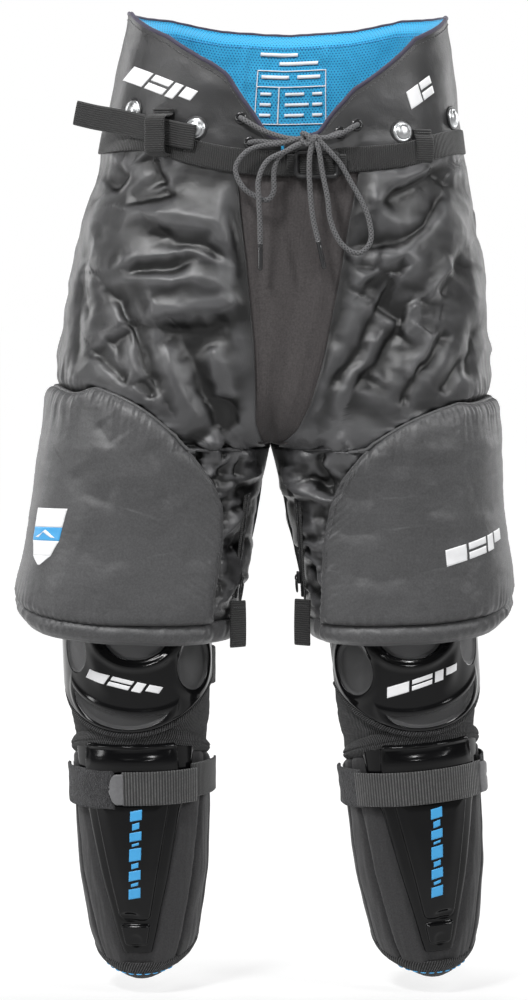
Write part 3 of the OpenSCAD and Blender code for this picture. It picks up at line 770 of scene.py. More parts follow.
def stitches(name, path, normal, mats, length=2.6, gap=1.2, r=0.32, sink=0.1):
    """A row of thread stitches lying along a path with the given normals."""
    P = np.asarray(path, float)
    Nn = np.asarray(normal, float)
    s = np.concatenate([[0], np.cumsum(np.linalg.norm(np.diff(P, axis=0), axis=1))])
    V, F, U = [], [], []
    at = 0.0
    while at + length < s[-1]:
        t = at + np.array([0, 0.18, 0.5, 0.82, 1]) * length
        C = np.stack([np.interp(t, s, P[:, k]) for k in range(3)], -1)
        n0 = np.stack([np.interp(t, s, Nn[:, k]) for k in range(3)], -1)
        C = C + n0 * (np.array([-0.3, 0.75, 1.0, 0.75, -0.3])[:, None] * r - sink)
        T = np.gradient(C, axis=0)
        T /= np.maximum(1e-9, np.linalg.norm(T, axis=1, keepdims=True))
        A = n0 - T * (n0 * T).sum(1, keepdims=True)
        A /= np.maximum(1e-9, np.linalg.norm(A, axis=1, keepdims=True))
        B = np.cross(T, A)
        ang = np.arange(6) * np.pi / 3
        rr = r * np.array([0.5, 1, 1, 1, 0.5])[:, None, None]
        ring = C[:, None] + (A[:, None] * np.cos(ang)[None, :, None]
                             + B[:, None] * np.sin(ang)[None, :, None]) * rr
        b0 = len(V) * 30
        V.append(ring.reshape(-1, 3))
        U.append(np.stack([np.repeat(t, 6), np.tile(ang, 5)], -1))
        F += [tuple(f) for f in grid_faces(5, 6, b0, True)]
        F += [tuple(b0 + k for k in range(5, -1, -1)), tuple(b0 + 24 + k for k in range(6))]
        at += length + gap
    return new_mesh(name, np.concatenate(V), F, mats, np.concatenate(U))


def lathe(name, profile, centre, normal, mats, sides=56, up=(0, 0, 1), squash=1.0):
    """A turned piece: profile of (radius, height) pairs, standing along the normal."""
    n = np.array(normal, float)
    n /= np.linalg.norm(n)
    a = np.array(up, float) - n * np.dot(up, n)
    a /= np.linalg.norm(a)
    b = np.cross(n, a)
    pr = np.array(profile, float)
    ang = np.arange(sides) * 2 * np.pi / sides
    V = (np.array(centre) + pr[:, 1][:, None, None] * n
         + pr[:, 0][:, None, None] * (np.cos(ang)[None, :, None] * a
                                      + np.sin(ang)[None, :, None] * b * squash))
    F = grid_faces(len(pr), sides, 0, True)
    U = np.stack(np.broadcast_arrays(pr[:, :1] * 6.28, ang[None] * pr[:, :1]), -1).reshape(-1, 2)
    return new_mesh(name, V.reshape(-1, 3), F, mats, U)


def smooth_profile(points):
    P = [(x, 0.0, y) for x, y in points]
    out = spline(P, 0.25)
    return [(max(0.0, x), z) for x, _, z in out]


def point_at(s, x, z, off=0.0, field=None):
    """A point and normal of the front surface at that x and z."""
    dx = abs(x - mid(z))
    P, N = surf(s, u_at(s, np.array([z]), dx), np.array([z]), off, field)
    return P[0], N[0]


def front_uz(s, xs, zs):
    """Share and height for front points given as x and z."""
    xs, zs = np.asarray(xs, float), np.asarray(zs, float)
    return u_at(s, zs, np.abs(xs - mid(zs))), zs


# ------------------------------------------------------------------ folds of the nylon
# (side, height, width, lean, path of (x, z)): positive heights are ridges, negative are creases;
# lean sharpens one flank and softens the other
FOLDS = [
    (R, -4.5, 4.5, 1, [(-128, -36), (-112, -19)]),
    (R, -5.5, 5.5, -1, [(-97, -6), (-82, -31)]),
    (R, -5.0, 5.0, 1, [(-113, -46), (-94, -44), (-73, -36)]),
    (R, 6.5, 7.5, 1, [(-102, -53), (-73, -60), (-43, -66), (-28, -84)]),
    (R, -6.0, 6.0, -1, [(-90, -61), (-73, -75), (-52, -79), (-32, -88)]),
    (R, 6.0, 7.0, 1, [(-127, -95), (-94, -87), (-66, -82), (-30, -94)]),
    (R, -4.5, 5.0, 1, [(-108, -97), (-84, -97), (-64, -92)]),
    (R, 4.0, 6.0, 1, [(-125, -106), (-92, -105), (-60, -104), (-34, -107)]),
    (R, 9.0, 8.5, 1, [(-98, -134), (-80, -128), (-52, -125), (-22, -122)]),
    (R, -10.0, 9.0, -1, [(-90, -141), (-66, -143), (-44, -141), (-26, -136)]),
    (R, -10.0, 10.0, 1, [(-72, -146), (-63, -164), (-52, -187), (-37, -216), (-27, -230)]),
    (R, 5.0, 8.0, 0, [(-47, -150), (-39, -176), (-30, -200)]),
    (R, -7.0, 5.5, 1, [(-130, -106), (-118, -123), (-109, -139), (-99, -162), (-88, -186), (-82, -197)]),
    (R, 5.0, 8.0, -1, [(-84, -150), (-76, -172), (-66, -196), (-52, -220)]),
    (R, -4.5, 5.0, 1, [(-139, -156), (-128, -169), (-110, -183)]),
    (R, -4.0, 5.0, -1, [(-127, -153), (-109, -145)]),
    (R, -4.0, 4.5, 0, [(-101, -177), (-92, -196)]),
    (R, -3.5, 5.0, 0, [(-42, -198), (-26, -206)]),
    (R, -3.5, 4.0, 0, [(-38, -214), (-22, -219)]),
    (R, 4.0, 4.0, 0, [(-24, -243), (-12, -244)]),
    (R, -3.0, 5.0, 0, [(-148, -100), (-152, -140), (-151, -168)]),
    (R, -3.0, 5.0, 0, [(-140, -74), (-146, -110), (-143, -140)]),
    (L, 7.0, 8.0, 1, [(72, -50), (96, -33), (124, -12)]),
    (L, -6.5, 6.0, -1, [(80, -48), (99, -36), (118, -26), (138, -14)]),
    (L, -6.5, 6.5, 1, [(54, -75), (78, -80), (101, -74), (117, -61), (128, -45), (135, -31)]),
    (L, 6.0, 7.0, 1, [(57, -108), (75, -101), (87, -91), (99, -84), (105, -92), (97, -108)]),
    (L, -9.0, 8.5, 1, [(78, -122), (90, -128), (103, -136)]),
    (L, 6.0, 7.0, 0, [(108, -118), (111, -134), (99, -150)]),
    (L, -9.5, 8.0, 1, [(103, -134), (90, -152), (75, -171), (64, -191)]),
    (L, -7.5, 7.5, 1, [(81, -124), (69, -155), (53, -175), (41, -194)]),
    (L, 6.5, 7.0, 0, [(86, -141), (76, -160), (61, -181), (50, -200)]),
    (L, 6.0, 7.0, -1, [(47, -146), (42, -171), (34, -191), (27, -211)]),
    (L, -5.5, 5.0, -1, [(50, -130), (38, -156), (31, -180), (22, -204)]),
    (L, -4.5, 5.0, 0, [(134, -140), (124, -158), (115, -176)]),
    (L, 4.0, 5.0, 0, [(126, -142), (114, -164), (102, -184)]),
    (L, -4.5, 5.0, 0, [(117, -166), (107, -184), (96, -203)]),
    (L, -4.0, 5.0, 0, [(146, -160), (138, -177), (129, -193)]),
    (L, -4.0, 5.0, 0, [(155, -135), (154, -160), (148, -186)]),
    (L, 5.0, 7.0, 0, [(140, -92), (122, -108), (120, -124)]),
    (L, -5.0, 6.0, 1, [(150, -84), (136, -104), (130, -122)]),
    (L, -4.0, 5.0, 1, [(62, -92), (84, -97), (70, -112)]),
]
_q = np.random.RandomState(5)
for _s in (R, L):
    for _k in range(30):
        _z = _q.uniform(-372, -226)
        _x = mid(_z) + _s * _q.uniform(8, 46 if _z < -262 else 62)
        _a = _q.choice([-0.55, -0.9, 0.35, -1.25]) + _q.normal(0, 0.18)
        _l = _q.uniform(8, 20)
        _c = _q.uniform(-3, 3)
        FOLDS.append((_s, _q.choice([-1, 1, -1]) * _q.uniform(3.0, 5.5), _q.uniform(2.6, 4.6), _q.choice([-1, 1]),
                      [(_x - _s * _l * math.cos(_a), _z - _l * math.sin(_a)),
                       (_x + _c * 0.6, _z + _c), (_x + _s * _l * math.cos(_a), _z + _l * math.sin(_a))]))
BACK = []
_r = np.random.RandomState(23)
for _s in (R, L):
    for _k in range(26):
        _u, _z = _r.uniform(0.42, 0.97), _r.uniform(-215, -42)
        _a = _r.normal(0.35 if _u > 0.7 else -0.6, 0.55) + math.pi / 2 * (_r.rand() < 0.35)
        _l = _r.uniform(22, 58)
        _c = _r.uniform(-9, 9)
        _pts = [(_u * HALF_GIRTH + _l * t * math.cos(_a) - _c * (1 - t * t) * math.sin(_a),
                 _z + _l * t * math.sin(_a) + _c * (1 - t * t) * math.cos(_a))
                for t in (-1, -0.5, 0, 0.5, 1)]
        _h = _r.choice([-1, 1, -1]) * _r.uniform(3.0, 5.5)
        BACK.append((_s, _h, _r.uniform(5, 8), _r.choice([-1, 0, 1]), _pts))


def stroke(d, t, h, w, lean):
    side = np.where(d * lean > 0, 2.1, 0.8) if lean else 1.15
    ends = np.clip(np.minimum(t, 1 - t) * 5, 0, 1)
    ends = 0.25 + 0.75 * ends * ends * (3 - 2 * ends)
    outside = np.exp(-(np.abs(d) / (w * side)) ** (1.35 if h > 0 else 1.55))
    return h * ends * outside


PADR = [(-384, 42), (-350, 41), (-310, 36), (-280, 37), (-262, 44), (-240, 60), (-220, 78),
        (-206, 95), (-195, 114), (-186, 140), (-182, 155)]
PADL = [(-384, 48), (-350, 47), (-310, 46), (-276, 50), (-257, 58), (-238, 72), (-225, 86),
        (-214, 104), (-205, 125), (-198, 150), (-194, 160)]
PADX = {R: PADR, L: PADL}
TOPS = {R: [(0.05, -262), (0.1, -240), (0.16, -220), (0.24, -203), (0.32, -194), (0.42, -188), (0.66, -190)],
        L: [(0.05, -256), (0.1, -238), (0.16, -224), (0.24, -211), (0.32, -202), (0.42, -197), (0.66, -198)]}


def pad_top(s, u):
    return smooth_look(u, TOPS[s], 0.02)


def top_curve(s):
    """The pad's upper outline as angles and heights, from its low inner corner to the side."""
    zc = np.linspace(-262, -188 if s < 0 else -200, 60)
    uc = u_at(s, zc, smooth_look(zc, PADX[s], 4))
    us = np.linspace(uc[-1], 0.64, 40)[1:]
    zs = zc[-1] + (pad_top(s, us) - zc[-1]) * sm(us, uc[-1], uc[-1] + 0.08)
    u, z = np.concatenate([uc, us]), np.concatenate([zc, zs])
    th = angle(s, u, z)
    d = np.concatenate([[0], np.cumsum(np.hypot(np.diff(th) * LEG_RADIUS, np.diff(z)))])
    q = np.linspace(0, d[-1], 160)
    return np.interp(q, d, th), np.interp(q, d, z)


def belt_line(s, u):
    x = base(s, u, -5.0 + 0 * u)[..., 0]
    return np.where(u > 0.5, 5.0, smooth_look(x, BELT_Z, 6))


TOPC = {R: top_curve(R), L: top_curve(L)}


def nylon_field(s, u, z, p):
    """Height of the cloth above its smooth surface, mm."""
    x = p[..., 0]
    front = 1 - sm(u, 0.43, 0.53)
    ang = angle(s, u, z)
    arc = ang * LEG_RADIUS
    wx = x + 3.0 * noise3(x / 26, z / 26, 3.1) + 1.1 * noise3(x / 9, z / 9, 5.2)
    wz = z + 3.0 * noise3(x / 26, z / 26, 8.4) + 1.1 * noise3(x / 9, z / 9, 1.7)
    h = np.zeros_like(x)
    for fs, hh, w, lean, path in FOLDS:
        if fs != s:
            continue
        d, t = seg(wx, wz, path)
        h = h + stroke(d, t, hh, w, lean) * front
    wa = arc + 3.0 * noise3(arc / 30, z / 26, 4.4)
    for fs, hh, w, lean, path in BACK:
        if fs != s:
            continue
        d, t = seg(wa, wz, path)
        h = h + stroke(d, t, hh, w, lean) * (1 - front)
    # broad billow and fine crumple
    h = h + 2.6 * noise3(arc / 46, z / 40, 2.0 + s) + 1.5 * noise3(arc / 19, z / 22, 6.0 + s)
    h = h + 0.45 * (ridged(wa / 17, wz / 22, 9.0 + s) - 0.35) + 0.16 * noise3(arc / 5.5, z / 6, 4.0 + s)
    h = h + 3.2 * sm(z, -215, -160) * (1 - sm(z, -60, -25))
    # gathers under the belt and above the pad seam
    bz = belt_line(s, u)
    g = np.exp(-np.abs(z - bz + 9) / 16)
    h = h + 1.5 * g * noise3(arc / 6.5, z / 45, 12.0 + s)
    tu, tz = TOPC[s]
    seam = z - np.interp(ang, tu, tz)
    inner = np.where(u > 0.45, 99.0, np.abs(x - mid(z)) - smooth_look(z, PADX[s], 5))
    onpad = sm(inner, -6, 0) * (1 - sm(u, 0.62, 0.66))
    pucker = onpad * np.exp(-np.clip(seam, 0, None) / 13)
    h = h + pucker * (2.5 * noise3(arc / 3.9, z / 40, 21.0 + s) + 1.5 * noise3(arc / 8, z / 60, 25.0))
    beside = np.exp(-np.abs(inner) / 9) * (1 - sm(seam, 0, 12)) * sm(u, 0.02, 0.05)
    h = h + beside * (2.0 * noise3(z / 4.2, arc / 30, 41.0 + s) + 1.2 * noise3(z / 9, arc / 40, 45.0))
    # flaps above the belt are flatter
    flap = sm(z, -2, 22)
    h = h * (1 - 0.62 * flap) + flap * 0.9 * noise3(arc / 24, z / 30, 31.0)
    # held down: under the belt, along the rim, at the front edge, and under the pad and cuff
    h = h * (1 - 0.96 * np.exp(-((z - bz) / 11.5) ** 4))
    rim = look(u, RIM[s])
    h = h * sm(rim - z, 0, 16)
    edge = np.abs(x - mid(z)) - np.where(z > -12, 0.0, look(z, GUS[s]))
    h = h * (0.12 + 0.88 * sm(np.where(front > 0.5, edge, 99), 0, 7 + 8 * sm(z, -250, -200)))
    back_edge = (1 - u) * HALF_GIRTH
    h = h * (0.35 + 0.65 * sm(back_edge, 0, 12))
    h = h * (1 - 0.35 * (1 - sm(z, CROTCH - 8, CROTCH + 14)) * (1 - sm(u, 0.06, 0.14)))
    under = onpad * (1 - sm(seam, 0.0, 9))
    h = h * (1 - 0.93 * under * sm(inner, -3, 4)) - 1.2 * np.exp(-(seam / 3.0) ** 2) * onpad * (seam > -6)
    low = 1 - sm(z - hem(u), 10, 26)
    h = h * (1 - 0.8 * low)
    return np.clip(h, -9.5, 9.5)


BEND = {s: ((-0.0014, 0, -0.235), (-0.0014 + 0.07071 * s, 0, -0.235 - 0.07071)) for s in (R, L)}


def bend(o, s):
    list(BEND[s])
    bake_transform(o)
    return o


def ride(o, body):
    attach(o, body)
    return o


FINE = 1.0


def count(n):
    return max(4, int(n * FINE))


def front_edge(s, z):
    top = u_at(s, z, 1.5)
    low = np.where(z > CROTCH, u_at(s, np.maximum(z, CROTCH), smooth_look(z, GUS[s], 4) - 0.5), 0.004)
    k = sm(z, -22, -10)
    return low * (1 - k) + top * k


def box_blur(h, k):
    for ax in (0, 1):
        pad = [(k, k), (0, 0)] if ax == 0 else [(0, 0), (k, k)]
        c = np.cumsum(np.pad(h, pad, mode="edge"), axis=ax)
        c = np.concatenate([np.zeros_like(c.take([0], ax)), c], ax)
        w = 2 * k + 1
        n = c.shape[ax] - w
        h = (c.take(np.arange(w, w + n), ax) - c.take(np.arange(n), ax)) / w
    return h


def cavity(P, N):
    """How far the cloth stands above (+) or below (-) its own neighbourhood, in mm; the nylon's colour takes painted
    shade in the creases and painted highlight on the ridges from it.
    """
    out = 0
    for k, g in ((max(2, int(9 * FINE)), 1.0), (max(1, int(4 * FINE)), 1.3)):
        B = np.stack([box_blur(P[..., i], k) for i in range(3)], -1)
        out = out + g * ((P - B) * N).sum(-1)
    return out


def shell(s):
    name = "nylon_" + SIDE[s]
    cols, rows = count(330), count(360)
    v = np.linspace(0, 1, cols) ** 1.0
    t = np.linspace(0, 1, rows)
    hi = smooth_look(v, RIM[s], 0.006)[None]
    lo = hem(v)[None] + 1.0
    z = hi + (lo - hi) * t[:, None]
    f = front_edge(s, z)
    u = f + (1 - f) * v[None]
    P, N = surf(s, u, z, 0, nylon_field)
    N2 = normals(P, 1.0)
    if (N2 * N).sum() < 0:
        N2 = -N2
    # the cloth's height against its neighbourhood, from which the nylon paints shade into its creases and highlight
    # onto its ridges
    o = slab(name, P, N2, 1.0, "nylon", flip=(s < 0), attrs={"painted_fold_shading": cavity(P, N)})
    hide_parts("leg_shell_" + SIDE[s], *(["waist_shell"]))
    bend(o, s)
    return o


for s in (R, L):
    shell(s)


# ------------------------------------------------------------------ gusset
def gusset():
    rows = [(-8, 1), (-34, 1), (-62, 1), (-94, 1), (-125, 1), (-158, 1), (-188, 1), (-206, 1),
            (-220, 1), (-229, 1), (-233.5, 1), (-233.5, -1), (-229, -1), (-220, -1), (-206, -1),
            (-188, -1), (-158, -1), (-125, -1), (-96, -1)]
    turns = [0, 0, 0, 0, 0, 0, 8, 20, 36, 55, 75, 105, 125, 144, 160, 172, 180, 180, 180]
    gb = [(-236, 4), (-222, 12), (-190, 18), (-92, 18), (-60, 18)]
    cols = count(90)
    c = np.linspace(0, 1, cols)
    pts, nrm = [], []
    for (z, sg), turn in zip(rows, turns):
        wr = look(z, GUS[R]) if sg > 0 else look(z, gb)
        wl = look(z, GUS[L]) if sg > 0 else look(z, gb)
        x = mid(z) - wr - 2.5 + (wr + wl + 5) * c
        line = []
        for xi in x:
            s = R if xi < mid(z) else L
            w, ce = parts(s, np.array(float(z)))
            q = np.clip(np.abs((ce - abs(xi - mid(z))) / w), 0, 1)
            y = -look(z, DEP) * (1 - q ** rn(z)) ** (1 / rn(z))
            line.append((xi, sg * (y + 1.2), z))
        pts.append(line)
        a = math.radians(turn)
        nrm.append([(0, -math.cos(a), -math.sin(a))] * cols)
    pts, nrm = np.array(pts), np.array(nrm)
    k = np.linspace(0, len(rows) - 1, count(330))

    def rise(A):
        i = np.clip(k.astype(int), 0, len(A) - 2)
        f = (k - i)[:, None, None]
        B = np.concatenate([[2 * A[0] - A[1]], A, [2 * A[-1] - A[-2]]])
        p0, p1, p2, p3 = B[i], B[i + 1], B[i + 2], B[i + 3]
        return 0.5 * (2 * p1 + (p2 - p0) * f + (2 * p0 - 5 * p1 + 4 * p2 - p3) * f ** 2
                      + (3 * p1 - p0 - 3 * p2 + p3) * f ** 3)

    P, N = rise(pts), rise(nrm)
    N /= np.linalg.norm(N, axis=-1, keepdims=True)
    x, z = P[..., 0], P[..., 2] + 400 * (P[..., 1] > 0)
    h = 2.2 * noise3(x / 17, z / 70, 3.0) + 1.3 * noise3(x / 8 + 0.02 * z, z / 50, 7.0)
    h = h + 1.3 * (ridged(x / 15 + z / 90, z / 60, 5.0) - 0.3) + 0.35 * noise3(x / 4, z / 6, 9.0)
    for path, hh, w in (([(-8, -30), (-12, -90), (-16, -150), (-12, -215)], -3.0, 6),
                        ([(22, -60), (18, -120), (10, -170), (2, -225)], -3.2, 7),
                        ([(5, -60), (2, -120), (-2, -170), (-3, -225)], 2.6, 8),
                        ([(40, -95), (30, -140), (20, -185), (6, -226)], 2.4, 6)):
        d, t = seg(x, z, path)
        h = h + stroke(d, t, hh, w, 0)
    e = np.minimum(c, 1 - c)[None] * np.linalg.norm(P[:, -1] - P[:, 0], axis=1)[:, None]
    h = 0.55 * h * sm(e, 0, 14) * sm(np.abs(P[..., 2] + 8), 0, 20) - 1.0
    P = P + N * h[..., None]
    N2 = normals(P)
    if (N2 * N).sum() < 0:
        N2 = -N2
    o = slab("gusset_panel", P, N2, 1.3, "stretch")
    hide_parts("gusset")
    ride(o, "hips")


gusset()


# ------------------------------------------------------------------ thigh pads, piping and cuffs
DENTS = {R: [(-3.0, 9, [(-152, -250), (-140, -268), (-118, -276)]), (-2.6, 8, [(-96, -225), (-84, -250), (-78, -280)]),
             (-2.4, 9, [(-150, -310), (-128, -322), (-104, -318)]), (-2.0, 8, [(-70, -268), (-62, -300), (-64, -330)]),
             (2.4, 14, [(-120, -240), (-110, -290), (-112, -340)]), (-2.2, 7, [(-132, -216), (-118, -232)])],
         L: [(-3.2, 9, [(50, -262), (64, -272), (80, -271)]), (-3.0, 9, [(42, -290), (62, -300), (86, -296)]),
             (-2.4, 9, [(118, -238), (126, -262), (124, -290)]), (-2.2, 9, [(146, -236), (150, -262), (158, -292)]),
             (2.4, 14, [(100, -240), (98, -290), (108, -340)]), (-2.2, 8, [(60, -330), (84, -336), (112, -330)])]}
PAD_HIGH = 9.6


def pad_grid(s, cols, rows):
    v = np.linspace(0, 1, cols)
    t = np.linspace(0, 1, rows)
    q = np.linspace(0, 1, len(TOPC[s][0]))
    at, hi = np.interp(v, q, TOPC[s][0]), np.interp(v, q, TOPC[s][1])
    lo = hem(0.1 + 0.5 * v) + 12.5
    z = hi[None] + (lo - hi)[None] * t[:, None]
    left = u_at(s, z[:, :1], smooth_look(z[:, :1], PADX[s], 5))
    ab = angle(s, left[-1, 0] + (0.64 - left[-1, 0]) * v, lo)
    left = angle(s, left, z[:, :1])
    th = at[None] + (ab - at)[None] * t[:, None]
    th = th + (left - th[:, :1]) * (1 - v[None]) ** 3
    u = share(s, th, z)
    return u, z


def pad_height(s, P):
    """Pad height by distance to its nearest edge, with dents and stitch puckers."""
    ax = np.concatenate([np.zeros((P.shape[0], 1)),
                         np.cumsum(np.linalg.norm(np.diff(P, axis=1), axis=2), 1)], 1)
    ay = np.concatenate([np.zeros((1, P.shape[1])),
                         np.cumsum(np.linalg.norm(np.diff(P, axis=0), axis=2), 0)], 0)
    el, er = ax, ax[:, -1:] - ax
    et, eb = ay, ay[-1:] - ay
    x, zz = P[..., 0], P[..., 2]
    q = [1 - (1 - np.clip(e / r, 0, 1)) ** 2.4 for e, r in ((el, 12), (er, 10), (et, 15), (eb, 9))]
    full = (q[0] * q[1] * q[2] * q[3]) ** 0.5
    h = 1.6 + (PAD_HIGH - 1.6) * full
    arc = ax
    pk = (np.exp(-et / 8.5) * noise3(arc / 3.1, ay / 30, 1.0 + s)
          + 0.8 * np.exp(-et / 20) * noise3(arc / 7.5, ay / 40, 4.0 + s)
          + 0.85 * np.exp(-eb / 7.5) * noise3(arc / 3.4, ay / 30, 8.0 + s)
          + 0.9 * np.exp(-el / 8) * noise3(ay / 4.0, ax / 30, 5.0 + s)
          + 0.5 * np.exp(-er / 9) * noise3(ay / 4.5, ax / 30, 15.0 + s))
    h = h + 2.3 * pk * sm(full, 0.05, 0.6)
    d = 1.15 * noise3(x / 30, zz / 34, 2.0 + 3 * s) + 0.55 * noise3(x / 12, zz / 14, 5.0) + 0.16 * noise3(x / 4,
            zz / 4, 6.0)
    for hh, w, path in DENTS[s]:
        dd, tt = seg(x + 2 * noise3(x / 14, zz / 14, 1.0), zz, path)
        d = d + stroke(dd, tt, hh, w, 1) * (P[..., 1] < 20)
    return np.clip(h + d * full, 0.9, 12.5), (el, er, et, eb)


def pads(s):
    u, z = pad_grid(s, count(230), count(210))
    P0, N0 = surf(s, u, z)
    h, _ = pad_height(s, P0)
    P = P0 + N0 * h[..., None]
    N = normals(P)
    if (N * N0).sum() < 0:
        N = -N
    o = slab("thigh_cover_" + SIDE[s], P, N0, np.clip(h - 0.5, 0.4, 20), "pad", flip=(s < 0))
    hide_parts("thigh_pad_" + SIDE[s])
    bend(o, s)
    # piping round the inner edge and over the top
    t = np.linspace(0, 1, 260)
    zz = -372 + (-262 + 372) * t[:-1]
    ue = u_at(s, zz, smooth_look(zz, PADX[s], 5) + 0.5)
    ut, hi = share(s, *TOPC[s]), TOPC[s][1]
    uu, zl = np.concatenate([ue, ut]), np.concatenate([zz, hi - 0.4])
    C, Nn = surf(s, uu, zl, 2.3)
    keep = resample(C, 1.2)
    sd = np.concatenate([[0], np.cumsum(np.linalg.norm(np.diff(C, axis=0), axis=1))])
    so = np.linspace(0, sd[-1], len(keep))
    Nk = np.stack([np.interp(so, sd, Nn[:, k]) for k in range(3)], -1)
    arc = so
    rad = 1.55 + 0.25 * noise3(arc / 5, 0.0 * arc, 3.0)
    keep = keep + Nk * (0.5 * noise3(arc / 6, 0 * arc, 8.0))[:, None]
    o = tube("pad_piping_" + SIDE[s], keep, 1.6, "pad", 12, radii=rad)
    bend(o, s)
    # a row of stitches just inside the piping
    inset = 4.6
    za = np.linspace(-366, pad_top(s, 0.08) - 6, 260)
    ua = u_at(s, za, smooth_look(za, PADX[s], 5) + inset)
    Pq, Nq = surf(s, ua, za)
    q = (1 - (1 - np.full(len(ua), inset) / 12) ** 2.4) ** 0.5
    Pq = Pq + Nq * (1.6 + (PAD_HIGH - 1.6) * q + 0.2)[:, None]
    o = stitches("pad_stitch_0_" + SIDE[s], Pq, Nq, "thread", 2.4, 1.0, 0.3)
    bend(o, s)


def cuff(s):
    """Puffed band round the hem."""
    cols, rows = count(420), count(26)
    v = np.linspace(0, 1, cols)
    t = np.linspace(0, 1, rows)
    z = hem(v)[None] - 1.8 + 14.5 * t[:, None]
    u = 0.012 + 0.976 * np.broadcast_to(v[None], z.shape)
    P0, N0 = surf(s, u, z)
    edge = u_at(s, z, smooth_look(z, PADX[s], 5))
    thick = sm(u, edge - 0.006, edge + 0.012) * (1 - sm(u, 0.62, 0.66))
    arc = np.concatenate([[0], np.cumsum(np.linalg.norm(np.diff(P0[rows // 2], axis=0), axis=1))])[None]
    crown = np.clip(np.sin(np.pi * np.clip(t, 0.02, 0.97)), 0, 1)[:, None] ** 0.55
    pk = 0.8 * noise3(arc / 3.8, t[:, None] * 1.2, 3.0 + s) + 0.9 * noise3(arc / 11, t[:, None] * 0.8, 6.0)
    h = 0.9 + (2.2 + 3.8 * thick) * crown + pk * crown * (0.5 + 0.5 * thick)
    P = P0 + N0 * h[..., None]
    N = normals(P)
    if (N * N0).sum() < 0:
        N = -N
    o = slab("hem_cuff_" + SIDE[s], P, N0, h + 1.4, "pad", flip=(s < 0))
    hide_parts("hem_binding_" + SIDE[s])
    bend(o, s)
    zz = hem(v) + 13.4
    C, Nn = surf(s, 0.012 + 0.976 * v, zz, 0.8)
    lift = np.interp(v, np.linspace(0, 1, cols), (0.8 + 1.4 * thick[-3]))
    C = C + Nn * lift[:, None]
    o = stitches("cuff_stitch_" + SIDE[s], C, Nn, "thread", 2.4, 1.0, 0.3)
    bend(o, s)


for s in (R, L):
    pads(s)
    cuff(s)


# ------------------------------------------------------------------ waist: lining, rim, seams
def ring(cols, v0=0.0):
    """Side and share for a line that runs right round: right front, back, left front."""
    t = np.linspace(0, 1, cols)
    return np.where(t < 0.5, R, L), np.where(t < 0.5, v0 + (1 - v0) * 2 * t, v0 + (1 - v0) * (2 - 2 * t))


def both(fn, side, u, z):
    a, b = fn(R, u, z), fn(L, u, z)
    k = (side < 0)
    return [np.where(k[..., None], p, q) for p, q in zip(a, b)]


def rim_z(side, u):
    return np.where(side < 0, smooth_look(u, RIM[R], 0.006), smooth_look(u, RIM[L], 0.006))


def lining():
    cols, rows = count(520), count(110)
    side, v = ring(cols, 0.012)
    t = np.linspace(0, 1, rows)[:, None]
    hi = rim_z(side, v) - 0.4
    lo = np.full(cols, -26.0)
    z = hi + (lo - hi) * t
    side2 = np.broadcast_to(side, z.shape)
    f = np.where(side2 < 0, front_edge(R, z), front_edge(L, z))
    u = f + (1 - f) * v[None]
    depth = hi - z
    off = -1.3 - 9.2 * sm(depth, 0.5, 9) * sm(v, 0.02, 0.10)
    P, N = both(lambda s, a, b: surf(s, a, b), side2, u, z)
    arc = v[None] * 430 * side
    w = 1.1 * noise3(arc / 26, z / 22, 3.0) + 0.7 * noise3(arc / 9, z / 30, 5.0) + 0.5 * noise3(arc / 5, z / 12, 8.0)
    for c, hh in ((0.93, -2.2), (0.62, -1.8)):
        w = w + hh * np.exp(-((v[None] - c) * 430 / 2.6) ** 2)
    P = P + N * (off + w * sm(depth, 3, 20))[..., None]
    N2 = normals(P)
    if (N2 * N).sum() < 0:
        N2 = -N2
    o = slab("mesh_lining", P, N2, 0.7, "lining")
    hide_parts("waist_lining")
    ride(o, "hips")
    # a row of blue stitches along the lining near its top
    k = int(rows * 0.09)
    C = P[k] - N[k] * 0.9
    o = stitches("lining_stitch", C, -N[k], "thread_blue", 2.2, 1.0, 0.28)
    ride(o, "hips")
    return P, N, v, side


LIN = lining()


def rim_binding():
    side, v = ring(900, 0.0)
    z = rim_z(side, v)
    f = np.where(side < 0, u_at(R, z, 1.2), u_at(L, z, 1.2))
    u = f + (1 - f) * v
    P, N = both(lambda s, a, b: surf(s, a, b), side, u, z)
    P = P - N * 0.6
    path = resample(P, 1.2)
    wob = noise3(np.arange(len(path)) / 9, 0.0, 4.0)
    path[:, 2] += 0.35 * wob
    o = tube("rim_binding", path, 1.7, "edging", 12, squash=0.85)
    ride(o, "hips")
    # row of stitches below the rim on the outside
    for s in (R, L):
        vv = np.linspace(0.01, 0.99, 700)
        zz = smooth_look(vv, RIM[s], 0.006) - 5.0
        ff = u_at(s, zz, 1.5)
        Q, M = surf(s, ff + (1 - ff) * vv, zz, 0.12, nylon_field)
        o = stitches("rim_stitch_" + SIDE[s], Q, M, "thread", 2.6, 1.1, 0.28)
        ride(o, "hips")


rim_binding()


def ribbon(name, path, normal, width_dir, width, t, mats, cols=14, crown=0.25, flip=False):
    """A webbing strip along a path: width_dir across it, slightly crowned, t thick."""
    P = np.asarray(path, float)
    N = np.asarray(normal, float)
    N = N / np.linalg.norm(N, axis=1, keepdims=True)
    W = np.asarray(width_dir, float)
    W = np.broadcast_to(W, P.shape)
    W = W / np.linalg.norm(W, axis=1, keepdims=True)
    c = np.linspace(-0.5, 0.5, cols)
    G = P[None] + W[None] * (c * width)[:, None, None] + N[None] * (crown * (1 - (2 * c) ** 4))[:, None, None]
    NN = np.broadcast_to(N[None], G.shape)
    return slab(name, G, NN, t, mats, flip=flip)


